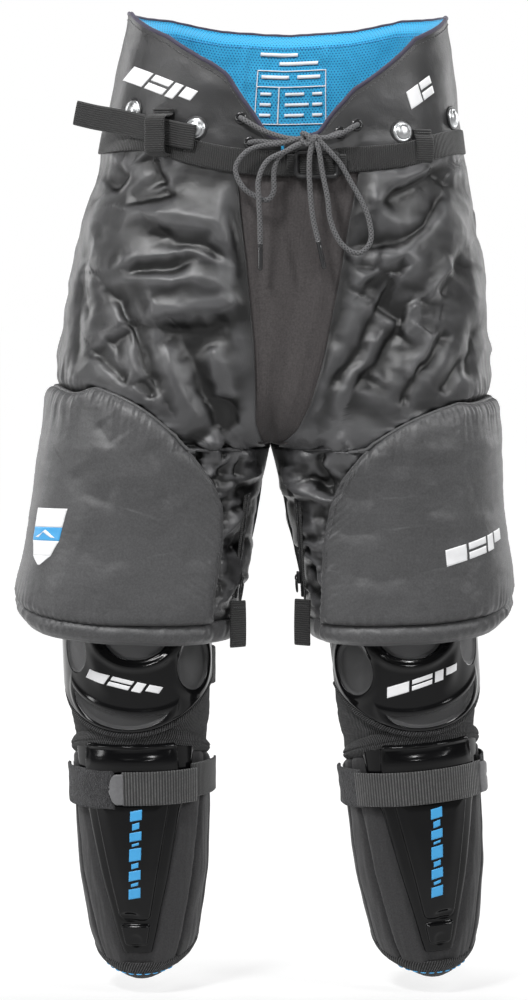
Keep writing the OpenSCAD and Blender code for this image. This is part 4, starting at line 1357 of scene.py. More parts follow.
def belt():
    cols, rows = count(620), 15
    t = np.linspace(0, 1, cols)
    side = np.where(t < 0.5, R, L)
    u = np.where(t < 0.5, 2 * t, 2 - 2 * t)
    u = np.clip(u, 0.0005, 1)
    bz = np.where(side < 0, belt_line(R, u), belt_line(L, u))
    bz = np.convolve(np.pad(bz, 12, mode="edge"), np.ones(25) / 25, "valid")
    c = np.linspace(0.5, -0.5, rows)[:, None]
    z = bz[None] + 18 * c
    side2, u2 = np.broadcast_to(side, z.shape), np.broadcast_to(u, z.shape)
    P, N = both(lambda s, a, b: surf(s, a, b), side2, u2, z)
    mx = np.maximum(both(lambda s, a, b: (nylon_field(s, a, b, base(s, a, b))[..., None],) * 2, side2, u2, z)[0][...,
            0], 0)
    arc = np.concatenate([[0], np.cumsum(np.linalg.norm(np.diff(P[rows // 2], axis=0), axis=1))])[None]
    lift = 1.9 + np.max(mx, 0)[None] * 0.5 + 0.5 * noise3(arc / 30, c * 0.6, 3.0) + 0.25 * (1 - (2 * c) ** 4)
    P = P + N * lift[..., None]
    N2 = normals(P)
    if (N2 * N).sum() < 0:
        N2 = -N2
    o = slab("waist_belt", P, N2, 1.5, "webbing")
    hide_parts("belt")
    ride(o, "hips")


def belt_tail():
    C = spline([(-60, -92, 5), (-72, -88, 7), (-84, -82, 10), (-98, -73, 13), (-118, -61, 18),
                (-138, -50, 22), (-153.5, -42, 26)], 1.2)
    T = np.gradient(C, axis=0)
    T /= np.linalg.norm(T, axis=1, keepdims=True)
    N = np.cross((0, 0, 1.0), T)
    N /= np.linalg.norm(N, axis=1, keepdims=True)
    N = np.where((N[:, 1:2] > 0), -N, N)
    up = np.cross(N, T)
    up = np.where(up[:, 2:3] < 0, -up, up)
    s = np.linspace(0, 1, len(C))
    C = C + N * (0.8 * np.sin(s * 7))[:, None]
    o = ribbon("belt_free_end", C, N, up, 18, 1.5, "webbing", 15)
    uv = o.data.uv_layers[0].data
    a = np.zeros(len(uv) * 2, np.float32)
    uv.foreach_get("uv", a)
    uv.foreach_set("uv", a.reshape(-1, 2)[:, ::-1].ravel())
    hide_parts("belt_tail")
    ride(o, "hips")


def belt_loop(s, x0, x1, zc, h, lift, name, node):
    xm = (x0 + x1) / 2
    P, N = point_at(s, xm, zc)
    Pe, _ = point_at(s, xm + 3, zc)
    X = Pe - P
    X[2] = 0
    X /= np.linalg.norm(X)
    N = np.cross((0, 0, 1.0), X)
    N = N if N[1] < 0 else -N
    zs = [h / 2 + 3, h / 2 - 0.5, h / 2 - 3.5, 0, -h / 2 + 3.5, -h / 2 + 0.5, -h / 2 - 3]
    ds = [0.9, 1.2, lift, lift + 0.8, lift, 1.2, 0.9]
    C = spline([P + N * d + np.array([0, 0, z]) for z, d in zip(zs, ds)], 0.8)
    T = np.gradient(C, axis=0)
    T /= np.linalg.norm(T, axis=1, keepdims=True)
    M = np.cross(T, X)
    M = np.where((M * N).sum(1, keepdims=True) < 0, -M, M)
    o = ribbon(name, C, M, X, x1 - x0, 1.3, "webbing", 12)
    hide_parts(node)
    ride(o, "hips")
    for zz in (h / 2 + 0.8, -h / 2 - 0.8):
        A = np.array([P + X * k + N * 1.7 + np.array([0, 0, zz]) for k in np.linspace(-6.5, 6.5, 12)])
        o = stitches(name + ("_stitch_up" if zz > 0 else "_stitch_low"), A, np.tile(N, (12, 1)), "thread", 1.6, 0.5,
                     0.35)
        ride(o, "hips")


def buckle():
    c = np.array((34.0, -99.8, -16.0))
    a = math.radians(1.5)
    X, Z, Y = np.array((math.cos(a), math.sin(a), 0)), np.array((0, 0, 1.0)), np.array((math.sin(a), -math.cos(a), 0))
    w, h, r = 15.7, 9.2, 3.0
    pts = []
    for cx, cz, q in ((w - r, h - r, 0), (-(w - r), h - r, 90), (-(w - r), -(h - r), 180), (w - r, -(h - r), 270)):
        for k in range(7):
            b = math.radians(q + 15 * k)
            pts.append(c + X * (cx + r * math.cos(b)) + Z * (cz + r * math.sin(b)) + Y * 0.4)
    path = resample(np.array(pts + [pts[0]]), 0.8)[:-1]
    o1 = tube("buckle_frame", path, 1.9, "hardware", 16, closed=True, squash=1.0, up=(0.02, -1, 0.0))
    bar = np.array([c + Z * z + Y * 0.2 for z in np.linspace(-h, h, 14)])
    o2 = tube("buckle_bar", bar, 2.6, "hardware", 16, squash=0.62, up=(0, -1, 0))
    o = join("slide_buckle", [o1, o2])
    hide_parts("belt_buckle")
    ride(o, "hips")
    # webbing through the buckle: over the middle bar
    xs = np.array([-22, -15.5, -12, -8, -3.5, 0, 3.5, 8, 12, 15.5, 22.0])
    ys = np.array([2.4, 1.6, 0.2, -0.5, -2.2, -2.9, -2.2, -0.5, 0.2, 1.6, 2.4])
    C = spline([c + X * x - Y * y for x, y in zip(xs, ys)], 0.8)
    T = np.gradient(C, axis=0)
    T /= np.linalg.norm(T, axis=1, keepdims=True)
    M = np.cross((0, 0, 1.0), T)
    M = np.where(M[:, 1:2] > 0, -M, M)
    o = ribbon("belt_through_buckle", C, M, (0, 0, 1.0), 14.6, 1.2, "webbing", 13)
    uv = o.data.uv_layers[0].data
    q = np.zeros(len(uv) * 2, np.float32)
    uv.foreach_get("uv", q)
    uv.foreach_set("uv", q.reshape(-1, 2)[:, ::-1].ravel())
    ride(o, "hips")


belt()
belt_tail()
belt_loop(R, -92, -76, 7.0, 34, 14.6, "belt_keeper_right", "belt_loop_right")
belt_loop(L, 108, 124, -3.5, 24, 3.6, "belt_keeper_left", "belt_loop_left")
buckle()

SNAP = smooth_profile([(7.7, -0.6), (8.0, 0.2), (7.6, 1.0), (6.7, 1.5), (6.2, 1.35), (5.9, 1.5), (5.4, 2.4), (4.0, 3.2),
                       (2.2, 3.6), (0.9, 3.72), (0.0, 3.75)])
for nm, s, x, z in (("snap_outer_right", R, -108, 27), ("snap_inner_right", R, -59, 12),
                    ("snap_inner_left", L, 100, 9.5), ("snap_outer_left", L, 141, 22)):
    p, n = point_at(s, x, z, 0.9, nylon_field)
    o = lathe("stud_" + nm, SNAP, p, n, "snap")
    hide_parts(nm)
    ride(o, "hips")
    o = lathe("washer_" + nm, [(8.2, -0.9), (9.3, -0.8), (9.6, -0.4), (9.3, 0.0), (8.4, 0.15), (7.4, 0.15)], p, n,
              "hardware")
    ride(o, "hips")

RINGP = smooth_profile([(2.35, -0.8), (2.3, 0.4), (2.7, 1.25), (3.5, 1.5), (4.3, 1.2), (4.75, 0.4), (4.7, -0.5)])
EYE = {}
for nm, s, x, z in (("eyelet_upper_right", R, -24, 19.5), ("eyelet_lower_right", R, -17, 0.6),
                    ("eyelet_upper_left", L, 65, 14.5), ("eyelet_lower_left", L, 52, 8.5)):
    p, n = point_at(s, x, z, 0.6, nylon_field)
    EYE[nm] = (p, n)
    o = lathe("ring_" + nm, RINGP, p, n, "eyelet")
    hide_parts(nm)
    ride(o, "hips")
    o = lathe("hole_" + nm, [(0.0, 0.0), (1.4, 0.0), (2.5, 0.05), (2.55, -0.3)], p, n, "edging", 32)
    ride(o, "hips")


# ------------------------------------------------------------------ lace
def lace_tube(name, pts):
    C = spline(pts, 0.42)
    o = tube(name, C, 2.0, "lace", 16, braid=True)
    return o, C


def through(nm, depth=3.0):
    p, n = EYE[nm]
    return [tuple(p - n * depth), tuple(p + n * 1.2)]


KNOT = np.array((28.0, -101.5, 2.2))
a_in, a_out = through("eyelet_lower_right")
b_in, b_out = through("eyelet_lower_left")
c_in, c_out = through("eyelet_upper_right")
d_in, d_out = through("eyelet_upper_left")
for nm, pts in (("lace_strand_right",
                 [c_in, c_out, (-20, -98.5, 17), (-8, -100.5, 10), (6, -102.4, 5), (17, -103.2, 3), (23, -102.6, 3)]),
                ("lace_strand_low",
                 [a_in, a_out, (-11, -99.8, 1.2), (0, -101.6, 0.6), (12, -103.0, 0.8), (22, -102.4, 1)]),
                ("lace_strand_left", [b_in, b_out, (47, -99.6, 6.5), (41, -101.4, 4), (34, -102.2, 3)]),
                ("lace_strand_up",
                 [d_in, d_out, (60, -98.6, 11.5), (52, -100.2, 7), (43, -102.4, 4.4), (34, -103, 3.6)])):
    o, _ = lace_tube(nm, pts)
    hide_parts("lace_crossing")
    ride(o, "hips")
# the bow's knot: a wrap over the middle with two flat turns behind it
wrap = [KNOT + np.array(v) for v in ((-5.5, -0.5, 5.2), (-2.0, -4.2, 4.0), (0.6, -5.6, 0.6), (2.2, -4.4, -3.8),
                                     (4.8, -0.4, -5.0), (3.4, 2.6, -1.0), (-0.8, 2.6, 3.2), (-4.8, -0.2, 3.0),
                                     (-5.4, -3.6, -0.6), (-1.4, -5.0, -3.2), (3.4, -4.4, 0.4), (6.4, -0.6, 3.0))]
o1, _ = lace_tube("knot_wrap", wrap)
o2, _ = lace_tube("knot_back",
                  [KNOT + np.array(v) for v in ((-7.5, 0.8, -1.0), (-3.5, -1.8, -2.2), (0.5, -2.2, 0.5),
                                                (4.0, -1.6, 2.4), (7.6, 0.9, 1.2))])
o = join("bow_knot", [o1, o2])
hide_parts("lace_knot")
ride(o, "hips")

LOOP_R = [(23, -104.6, 1), (14, -106.5, -4), (4, -108, -12), (1, -109, -24), (1, -110, -36), (-3, -110, -43),
          (-10, -110, -42), (-20, -109, -36), (-26, -108, -28), (-28, -107, -19), (-24, -107, -11), (-17, -106, -5),
          (-7, -105.4, -2), (6, -105.0, -0.5), (21, -104.8, 3.5)]
LOOP_L = [(32, -105.0, 0.5), (35, -107, -4), (38, -108, -22), (42, -110, -42), (44, -110, -58), (50, -111, -73),
          (59, -111, -82), (68, -110, -83), (75, -108, -74), (74, -106, -60), (69, -105, -46), (60, -104, -30),
          (52, -104.5, -16), (44, -106.0, -7), (35, -105.6, 2.5)]
END_R = [(21.5, -106.2, -0.5), (10, -109.6, -6.5), (-4, -111.5, -14), (-10.5, -114, -28), (-10.4, -115.6, -42),
         (-9.6, -115, -58),
         (-9.2, -113.6, -77)]
END_L = [(30, -106.6, -2), (28.5, -108.5, -9), (28, -109.8, -22), (29, -110.4, -40), (31, -111, -58), (35, -111, -75)]


def aglet(name, p0, p1, node):
    C = np.array([np.array(p0) + (np.array(p1) - np.array(p0)) * k for k in np.linspace(0, 1, 26)])
    rr = np.full(26, 1.95)
    rr[0], rr[1], rr[-2], rr[-1] = 1.75, 2.05, 1.75, 1.2
    rr[3:6] -= 0.12
    o = tube(name, C, 2.0, "aglet", 20, radii=rr)
    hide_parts(node)
    ride(o, "hips")
    return o


AGL = {"right": aglet("lace_tip_right", (-9.2, -113.5, -76.4), (-9.3, -113.0, -96.8), "aglet_right"),
       "left": aglet("lace_tip_left", (34.9, -111, -74.4), (39.7, -111, -95.6), "aglet_left")}
for nm, pts, far, node, tip in (("lace_bow_right", LOOP_R, "object", "lace_loop_right", None),
                                ("lace_bow_left", LOOP_L, "object", "lace_loop_left", None),
                                ("lace_tail_right", END_R, "fitting", "lace_end_right", "right"),
                                ("lace_tail_left", END_L, "fitting", "lace_end_left", "left")):
    o, C = lace_tube(nm, pts)
    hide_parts(node)
    ride(o, "hips")


# ------------------------------------------------------------------ zipper and hem tabs
def zdx(s, z):
    return look(z, [(-392, 27), (-352, 24), (-272, 17)] if s < 0 else [(-392, 34), (-352, 32), (-272, 23)])


def zipper(s):
    z = np.linspace(-271, -353, 150)
    u = u_at(s, z, zdx(s, z))
    C, N = surf(s, u, z, 0.9)
    T = np.gradient(C, axis=0)
    T /= np.linalg.norm(T, axis=1, keepdims=True)
    W = np.cross(N, T)
    o = ribbon("zip_tape_" + SIDE[s], C + N * 0.2, N, W, 9.5, 0.7, "webbing", 11)
    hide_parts("zipper_" + SIDE[s])
    bend(o, s)
    P = resample(C, 0.35)
    k = np.arange(len(P))
    rr = 1.15 + 0.35 * np.sin(k * 0.35 / 1.3 * 2 * np.pi)
    sd = np.linspace(0, len(C) - 1, len(P))
    Nn = np.stack([np.interp(sd, np.arange(len(C)), N[:, i]) for i in range(3)], -1)
    o = tube("zip_coil_" + SIDE[s], P + Nn * 0.9, 1.2, "hardware", 8, radii=rr)
    bend(o, s)
    # slider with its pull, facing out of the surface
    zc = -337.0
    c, n = point_at(s, mid(zc) + s * zdx(s, zc), zc, PULL_LIFT[s])
    t = np.array([C[100][i] - C[60][i] for i in range(3)])
    t /= np.linalg.norm(t)
    w = np.cross(n, t)
    body = np.array([c + t * k for k in np.linspace(-4.4, 4.4, 14)])
    o1 = tube("slider_a", body, 3.0, "hardware", 18, squash=0.48, up=tuple(n),
              radii=2.2 + 0.9 * np.sin(np.linspace(0.4, 2.2, 14)))
    arch = np.array([c + n * (1.2 + 1.3 * math.sin(a)) + t * (-2.4 * math.cos(a)) for a in np.linspace(0, math.pi, 14)])
    o2 = tube("slider_b", arch, 0.7, "hardware", 10, up=tuple(w))
    r = 2.0
    loop = [c + n * 1.9 + t * (1.6 + 5.2 + 5.2 * math.sin(a)) + w * (r * math.cos(a)) for a in np.linspace(0,
            2 * math.pi, 40)[:-1]]
    o3 = tube("slider_c", resample(np.array(loop + [loop[0]]), 0.5)[:-1], 0.62, "hardware", 10, closed=True,
              up=tuple(n))
    o = join("zip_pull_" + SIDE[s], [o1, o2, o3])
    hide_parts("zipper_slider_" + SIDE[s])
    ride(o, "slider_" + SIDE[s])


def tab(s):
    x = -27.0 if s < 0 else 24.0
    zt = -356.0
    xx = x + 4 * s
    q = np.clip(abs((parts(s, np.array(zt))[1] - abs(xx - mid(zt))) / parts(s, np.array(zt))[0]), 0, 1)
    y = float(-look(zt, DEP) * (1 - q ** rn(zt)) ** (1 / rn(zt)) - 6)
    a = math.radians(-36 * s)
    X, Y = np.array((math.cos(a), math.sin(a), 0)), np.array((math.sin(a), -math.cos(a), 0))
    c = np.array((x, y, zt))
    zs = np.linspace(0.5, -34.5, 40)
    wave = 0.7 * np.sin(np.linspace(0, 2.6, 40))
    C = np.array([c + Y * w + np.array((0, 0, z)) for w, z in zip(wave, zs)])
    o = ribbon("hem_pull_" + SIDE[s], C + Y * 0.9, np.tile(Y, (40, 1)), X, 14, 1.9, "webbing", 14)
    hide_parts("hem_tab_" + SIDE[s])
    ride(o, "tab_" + SIDE[s])
    for zz in (-4, -30):
        A = np.array([c + Y * 1.3 + X * k + np.array((0, 0, zz)) for k in np.linspace(-5.6, 5.6, 10)])
        o = stitches("tab_stitch%d_%s" % (-zz, SIDE[s]), A, np.tile(Y, (10, 1)), "thread", 1.6, 0.6, 0.3)
        ride(o, "tab_" + SIDE[s])


for s in (R, L):
    zipper(s)
    tab(s)


# ------------------------------------------------------------------ printed marks
def decal(name, fn, polys, mat, t=0.25, step=1.2):
    """Flat printed shapes: polygons in the plane (a, b) laid by fn(a, b) -> point, normal."""
    V, F = [], []
    for quad in polys:
        q = np.array(quad, float)
        na = max(1, int(max(np.linalg.norm(q[1] - q[0]), np.linalg.norm(q[2] - q[3])) / step))
        nb = max(1, int(max(np.linalg.norm(q[3] - q[0]), np.linalg.norm(q[2] - q[1])) / step))
        a, b = np.meshgrid(np.linspace(0, 1, na + 1), np.linspace(0, 1, nb + 1))
        G = ((1 - a)[..., None] * (1 - b)[..., None] * q[0] + a[..., None] * (1 - b)[..., None] * q[1]
             + a[..., None] * b[..., None] * q[2] + (1 - a)[..., None] * b[..., None] * q[3])
        P, N = fn(G[..., 0], G[..., 1])
        base_i = sum(len(v) for v in V)
        n = (na + 1) * (nb + 1)
        V += [(P + N * t).reshape(-1, 3), (P - N * 0.4).reshape(-1, 3)]
        top = grid_faces(nb + 1, na + 1, base_i)
        low = grid_faces(nb + 1, na + 1, base_i + n, flip=True)
        fn0 = np.cross(P[0, 1] - P[0, 0], P[1, 0] - P[0, 0]).dot(N[0, 0]) > 0
        idx = ([c for c in range(na + 1)] + [r * (na + 1) + na for r in range(1, nb + 1)]
               + [nb * (na + 1) + c for c in range(na - 1, -1, -1)] + [r * (na + 1) for r in range(nb - 1, 0, -1)])
        k = len(idx)
        side = [(base_i + idx[i], base_i + n + idx[i], base_i + n + idx[(i + 1) % k],
                 base_i + idx[(i + 1) % k]) for i in range(k)]
        fs = [tuple(f) for f in top] + [tuple(f) for f in low] + side
        F += fs if fn0 else [f[::-1] for f in fs]
    V = np.concatenate(V)
    return new_mesh(name, V, F, mat, V[:, [0, 2]])


def front_fn(s, lift, field=nylon_field):
    def fn(x, z):
        u, zz = front_uz(s, x, z)
        return surf(s, u, zz, lift, field)
    return fn


def bars(x0, z0, x1, z1, h, cuts, skew=0.35):
    """A generic mark: slanted blocks along the line from (x0, z0) to (x1, z1)."""
    a, b = np.array((x0, z0), float), np.array((x1, z1), float)
    d = b - a
    n = np.array((-d[1], d[0])) / np.linalg.norm(d) * h
    out = []
    for c0, c1, low, high in cuts:
        p = a + d * c0 + n * low
        q = a + d * c1 + n * low
        k = d / np.linalg.norm(d) * h * skew
        out.append((p + k * low, q + k * low, a + d * c1 + n * high + k * high, a + d * c0 + n * high + k * high))
    return out


MARK = [(0.0, 0.30, 0, 1), (0.34, 0.62, 0, 0.42), (0.34, 0.62, 0.58, 1), (0.66, 0.78, 0, 1), (0.82, 1.0, 0.3, 1)]
o = decal("flap_mark_right", front_fn(R, 0.25), bars(-116, 51, -66, 30, 13, MARK), "print_white")
ride(o, "hips")
o = decal("flap_mark_left", front_fn(L, 0.25), bars(107, 27, 137, 49, 13, MARK[:3]), "print_white")
ride(o, "hips")


def pad_at(s):
    def fn(u, z):
        P, N = surf(s, u, z)
        d = 1.15 * noise3(P[..., 0] / 30, P[..., 2] / 34, 2.0 + 3 * s) + 0.55 * noise3(P[..., 0] / 12, P[..., 2] / 14,
                5.0)
        d = d + 0.16 * noise3(P[..., 0] / 4, P[..., 2] / 4, 6.0)
        for hh, w, path in DENTS[s]:
            dd, tt = seg(P[..., 0] + 2 * noise3(P[..., 0] / 14, P[..., 2] / 14, 1.0), P[..., 2], path)
            d = d + stroke(dd, tt, hh, w, 1)
        return P + N * (PAD_HIGH + d)[..., None], N
    return fn


def round_side(s, x0, z0, fn):
    """The same, with a measured along the cloth from x0, so that it doesn't stretch round the side."""
    u = np.linspace(float(u_at(s, np.array(z0), x0 * s - mid(z0) * s)), 0.62, 200)
    P = base(s, u, np.full(200, float(z0)))
    d = x0 + s * np.concatenate([[0], np.cumsum(np.linalg.norm(np.diff(P, axis=0), axis=1))])

    def out(a, z):
        us = np.interp(a * s, d * s, u)
        return fn(us, z)
    return out


o = decal("pad_mark_left", round_side(L, 131.0, -318.0, pad_at(L)), bars(131, -325, 184, -311, 12, MARK),
          "print_white", 0.4)
bend(o, L)
# a plain shield patch: white field, blue stripe and a white chevron
SHIELD = [((-179, -283), (-159, -281), (-160, -296), (-179, -298)),
          ((-178.6, -309), (-160.2, -307), (-163, -319), (-175.5, -320.5)),
          ((-175.5, -320.5), (-163, -319), (-168.4, -327), (-169.6, -327))]
STRIPE = [((-179, -298), (-160, -296), (-160.2, -307), (-178.6, -309))]
CHEVRON = [((-176, -306), (-173.5, -306), (-169.5, -299), (-170.5, -301.5)),
           ((-169.5, -299), (-170.5, -301.5), (-165, -305), (-162.5, -305))]
for nm, polys, mat, lift in (("patch_field", SHIELD, "print_white", 0.3), ("patch_stripe", STRIPE, "print_blue", 0.3),
                             ("patch_chevron", CHEVRON, "print_white", 0.55)):
    wide = [tuple((-157 + 1.6 * (x + 159), z) for x, z in poly) for poly in polys]
    o = decal(nm, round_side(R, -157.0, -303.0, pad_at(R)), wide, mat, lift)
    bend(o, R)


# ------------------------------------------------------------------ size label inside the back
def label():
    P, N = LIN[:2]
    rows, cols = P.shape[:2]
    X = P[..., 0]
    near = [int(np.argmin(np.abs(X[20, cols // 4: 3 * cols // 4] - x))) + cols // 4 for x in (-14, 46)]
    lo, hi = min(near), max(near)

    def fn(a, b):
        zt = b
        col = np.clip(lo + (hi - lo) * (a / 60.0), 0, cols - 1.001)
        c0 = col.astype(int)
        Z = P[:, (lo + hi) // 2, 2]
        row = np.interp(-zt, -Z, np.arange(rows))
        r0 = np.clip(row.astype(int), 0, rows - 2)
        fr, fc = (row - r0)[..., None], (col - c0)[..., None]

        def at(A):
            return ((A[r0, c0] * (1 - fc) + A[r0, c0 + 1] * fc) * (1 - fr)
                    + (A[r0 + 1, c0] * (1 - fc) + A[r0 + 1, c0 + 1] * fc) * fr)
        n = at(N)
        n = n / np.linalg.norm(n, axis=-1, keepdims=True)
        return at(P) - n * 1.4, -n

    flip = X[20, lo] > X[20, hi]

    def put(x0, z0, x1, z1):
        a, b = (60 - x0, 60 - x1) if flip else (x0, x1)
        return ((a, z0), (b, z0), (b, z1), (a, z1))
    t = 0.9
    z_hi, z_lo, split, col = 66, 22, 53, 20
    q = [put(2, z_hi, 58, z_hi - t), put(2, z_lo + t, 58, z_lo), put(2, z_hi, 2 + t, z_lo), put(58 - t, z_hi, 58, z_lo),
         put(2, split, 58, split - t), put(col, split, col + t, z_lo)]
    for k in range(3):
        q.append(put(24, split - 5 - 8.5 * k, 38 + 4 * (k % 2), split - 7.6 - 8.5 * k))
        q.append(put(45, split - 5 - 8.5 * k, 54, split - 7.6 - 8.5 * k))
        q.append(put(6, split - 5 - 8.5 * k, 15, split - 7.6 - 8.5 * k))
    q += [put(6, 62, 26, 59), put(32, 62, 52, 59)]
    q += [put(4, 80, 32, 77), put(20, 73, 50, 70)]
    o = decal("size_label", fn, q, "print_white", 0.25)
    ride(o, "hips")


label()


# ------------------------------------------------------------------ knee and shin guards
GW = [(-270, 27), (-262, 33), (-240, 41), (-190, 49), (-150, 51), (-100, 52), (-60, 53), (0, 54), (55, 48)]
GD = [(-270, 30), (-240, 38), (-190, 46), (-150, 49), (-100, 51), (-60, 55), (0, 58), (55, 50)]
KNEE = {R: (-106.0, -12.0, -385.0), L: (102.0, -12.0, -385.0)}
LEAN = {R: math.radians(-1), L: math.radians(-5)}
TOE = {R: math.radians(-8), L: math.radians(14)}


def place(s, p):
    x, y, z = p[..., 0], p[..., 1], p[..., 2]
    c, d = math.cos(TOE[s]), math.sin(TOE[s])
    x, y = x * c - y * d, x * d + y * c
    c, d = math.cos(LEAN[s]), math.sin(LEAN[s])
    x, z = x * c + z * d, -x * d + z * c
    return np.stack([x, y, z], -1) + np.array(KNEE[s])


def gp(a, z, d):
    a, z, d = np.broadcast_arrays(np.asarray(a, float), np.asarray(z, float), np.asarray(d, float))
    r = np.radians(a)
    return np.stack([(smooth_look(z, GW, 7) + d) * np.sin(r), -(smooth_look(z, GD, 7) + d) * np.cos(r), z], -1)


def gn(a, z):
    p1, p2 = gp(a + 0.5, z, 0), gp(a - 0.5, z, 0)
    q1, q2 = gp(a, z + 0.5, 0), gp(a, z - 0.5, 0)
    n = np.cross(p1 - p2, q1 - q2)
    n /= np.linalg.norm(n, axis=-1, keepdims=True)
    return n


def turn(s, v):
    return place(s, v) - np.array(KNEE[s])


def patch(name, s, a0, a1, cols, rows, lo, hi, dfun, t, mat, node, body, attrs=None):
    """A patch of the guard: lo(a)..hi(a) high, its outer face dfun(a, z, x, tt) off the guard's surface."""
    a = np.linspace(a0, a1, cols)
    tt = np.linspace(0, 1, rows)[:, None]
    zl, zh = lo(a)[None], hi(a)[None]
    z = zh + (zl - zh) * tt
    A = np.broadcast_to(a[None], z.shape)
    x = np.radians(A) * GUARD_RADIUS
    d = dfun(A, z, x, np.broadcast_to(tt, z.shape))
    G = gp(A, z, 0)
    n = gn(A, z)
    P = place(s, G + n * d[..., None])
    N = turn(s, n)
    th = t(A, z, x, d) if callable(t) else t
    at = {k: f(A, z, x) for k, f in attrs.items()} if attrs else None
    N2 = normals(P)
    if (N2 * N).sum() < 0:
        N2 = -N2
    o = slab(name, P, N2 if not callable(t) else N, th, mat, attrs=at, flip=False)
    if node:
        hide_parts(node)
    if body:
        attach(o, body)
    return o


def ell(x, z, cx, cz, rx, rz, ang=0.0):
    c, d = math.cos(ang), math.sin(ang)
    u, v = (x - cx) * c + (z - cz) * d, -(x - cx) * d + (z - cz) * c
    r = np.sqrt((u / rx) ** 2 + (v / rz) ** 2)
    return (r - 1) * np.minimum(rx, rz) * (0.55 + 0.45 * np.clip(r, 0, 1))


def cap_shapes(s, x, z):
    m = -s * x
    hole = ell(m, z, 8, 6, 25, 21)
    outer = ell(m, z, -44, -8, 13, 18, 0.1)
    inner = ell(m, z, 54, -20, 16.5, 21, -0.12)
    lens = np.maximum(ell(m, z, -7, -45, 40, 23, -0.2), -ell(m, z, -2, -25.5, 60, 31, -0.2))
    return m, hole, outer, inner, lens


def guard(s):
    nm = SIDE[s]
    K, H = "knee_" + nm, "shin_" + nm

    # knee cap: glossy shell with inserts
    def cap_d(A, z, x, tt):
        m, hole, outer, inner, lens = cap_shapes(s, x, z)
        d = 7.4 + 1.8 * np.exp(-((m - 8) / 34) ** 2 - ((z + 8) / 34) ** 2)
        d = d + 2.3 * np.exp(-((hole - 5.0) / 3.4) ** 2) - 3.4 * sm(-hole, 0, 2.2)
        d = d - 2.2 * sm(-outer, -0.6, 1.6) - 2.2 * sm(-inner, -0.6, 1.6) + 1.0 * np.exp(-((inner - 3) / 2.5) ** 2)
        d = d - 2.6 * sm(-lens, -0.4, 1.8) + 0.9 * np.exp(-((lens - 2.2) / 1.8) ** 2)
        # shoulders running down beside the ring
        for q, h in ((-24, 2.0), (40, 2.2)):
            d = d + h * np.exp(-((m - q + 0.28 * (z + 10)) / 7.0) ** 2) * sm(z, -48, -25) * (1 - sm(z, 12, 30))
        edge = np.minimum((84 - np.abs(A)) * 0.95, np.minimum(z - lo(A), hi(A) - z))
        return d - 3.0 * (1 - np.clip(edge / 5.0, 0, 1)) ** 2

    def lo(a):
        return -73 + 40 * (a / 84) ** 2

    def hi(a):
        return 43 - 14 * (a / 84) ** 2

    def sdf(A, z, x):
        _, hole, outer, inner, lens = cap_shapes(s, x, z)
        return np.minimum(np.minimum(hole + 0.8, outer), np.minimum(inner, lens))

    def tone(A, z, x):
        _, hole, outer, inner, lens = cap_shapes(s, x, z)
        t = np.where(hole < 1.5, 0.85, 0.0)
        t = np.where(outer < 1.5, 0.65, t)
        t = np.where(inner < 1.5, 0.2, t)
        return np.where(lens < 1.5, 0.12, t)

    patch("knee_shell_" + nm, s, -84, 84, count(300), count(210), lo, hi, cap_d, 2.6, "cap",
          "knee_cap_" + nm, K, {"sdf": sdf, "tone": tone})

    # binding along the cap's edge
    aa = np.linspace(-85, 85, 200)
    C = place(s, gp(aa, lo(aa) - 1.0, 0) + gn(aa, lo(aa)) * 4.4)
    C = resample(C, 1.0)
    rr = 2.5 + 0.18 * noise3(np.arange(len(C)) / 2.2, 0.0, 2.0)
    o = tube("cap_binding_" + nm, C, 2.5, "knit", 12, radii=rr)
    ride(o, K)

    # knit knee sleeve, reaching down behind the shin guard's top
    def sl(A, z, x, tt):
        return 2.0 - 2.4 * sm(-z, 60, 84) + 0.5 * noise3(x / 14, z / 9, 3.0 + s) + 0.45 * noise3(x / 30, z / 4.5,
                6.0) * sm(-z, 40, 60)

    def z_low(a):
        return -100 + 12 * (a / 104) ** 2

    o = patch("knee_sleeve_" + nm, s, -104, 104, count(200), count(130), z_low,
              lambda a: 47 - 8 * (a / 92) ** 2, sl, 6.5, "knit", "knee_pad_" + nm, None)
    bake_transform(o)

    patch("knee_strap_band_" + nm, s, 93, 267, count(120), 12, lambda a: a * 0 - 42, lambda a: a * 0 - 14,
          lambda A, z, x, tt: -1.0 + 0.3 * noise3(x / 20, z / 8, 4.0)
          + (9.0 if s < 0 else 4.0) * np.exp(-((A - 112) / 15) ** 2), 1.8, "webbing", "knee_strap_" + nm, K)

    # shin foam with sewn channels
    def half(z):
        return look(z, [(-254, 16), (-240, 20), (-136, 45), (-108, 58), (-80, 62)])

    def foam_lo(a):
        return -267.5 + 26 * (np.abs(a) / 116) ** 2.2

    def foam_hi(a):
        return -84 - 17 * (np.abs(a) / 116) ** 1.6

    def foam_d(A, z, x, tt):
        e = np.abs(A)
        hp = half(z)
        g1, g2 = hp + 0.40 * (104 - hp), hp + 0.80 * (104 - hp)
        w = 0.9
        dx1, dx2 = (e - g1) * w, (e - g2) * w
        d = 2.6 * sm(e, hp - 2, hp + 8)
        d = d - 2.9 * np.exp(-(np.abs(dx1) / 1.9) ** 1.3) - 2.6 * np.exp(-(np.abs(dx2) / 1.9) ** 1.3)
        d = d + 0.5 * noise3(x / 16, z / 22, 4.0 + s) + 0.35 * noise3(x / 5, z / 30, 8.0)
        d = d + 0.5 * np.exp(-(np.minimum(np.abs(dx1), np.abs(dx2)) / 3.5) ** 2) * noise3(z / 4.0, x / 9, 3.0)
        edge = np.minimum((116 - e) * 0.9, np.minimum(z - foam_lo(A), foam_hi(A) - z))
        return d - 3.2 * (1 - np.clip(edge / 4.5, 0, 1)) ** 2

    patch("shin_liner_" + nm, s, -116, 116, count(330), count(260), foam_lo, foam_hi, foam_d, 7.0, "foam",
          "shin_foam_" + nm, H)

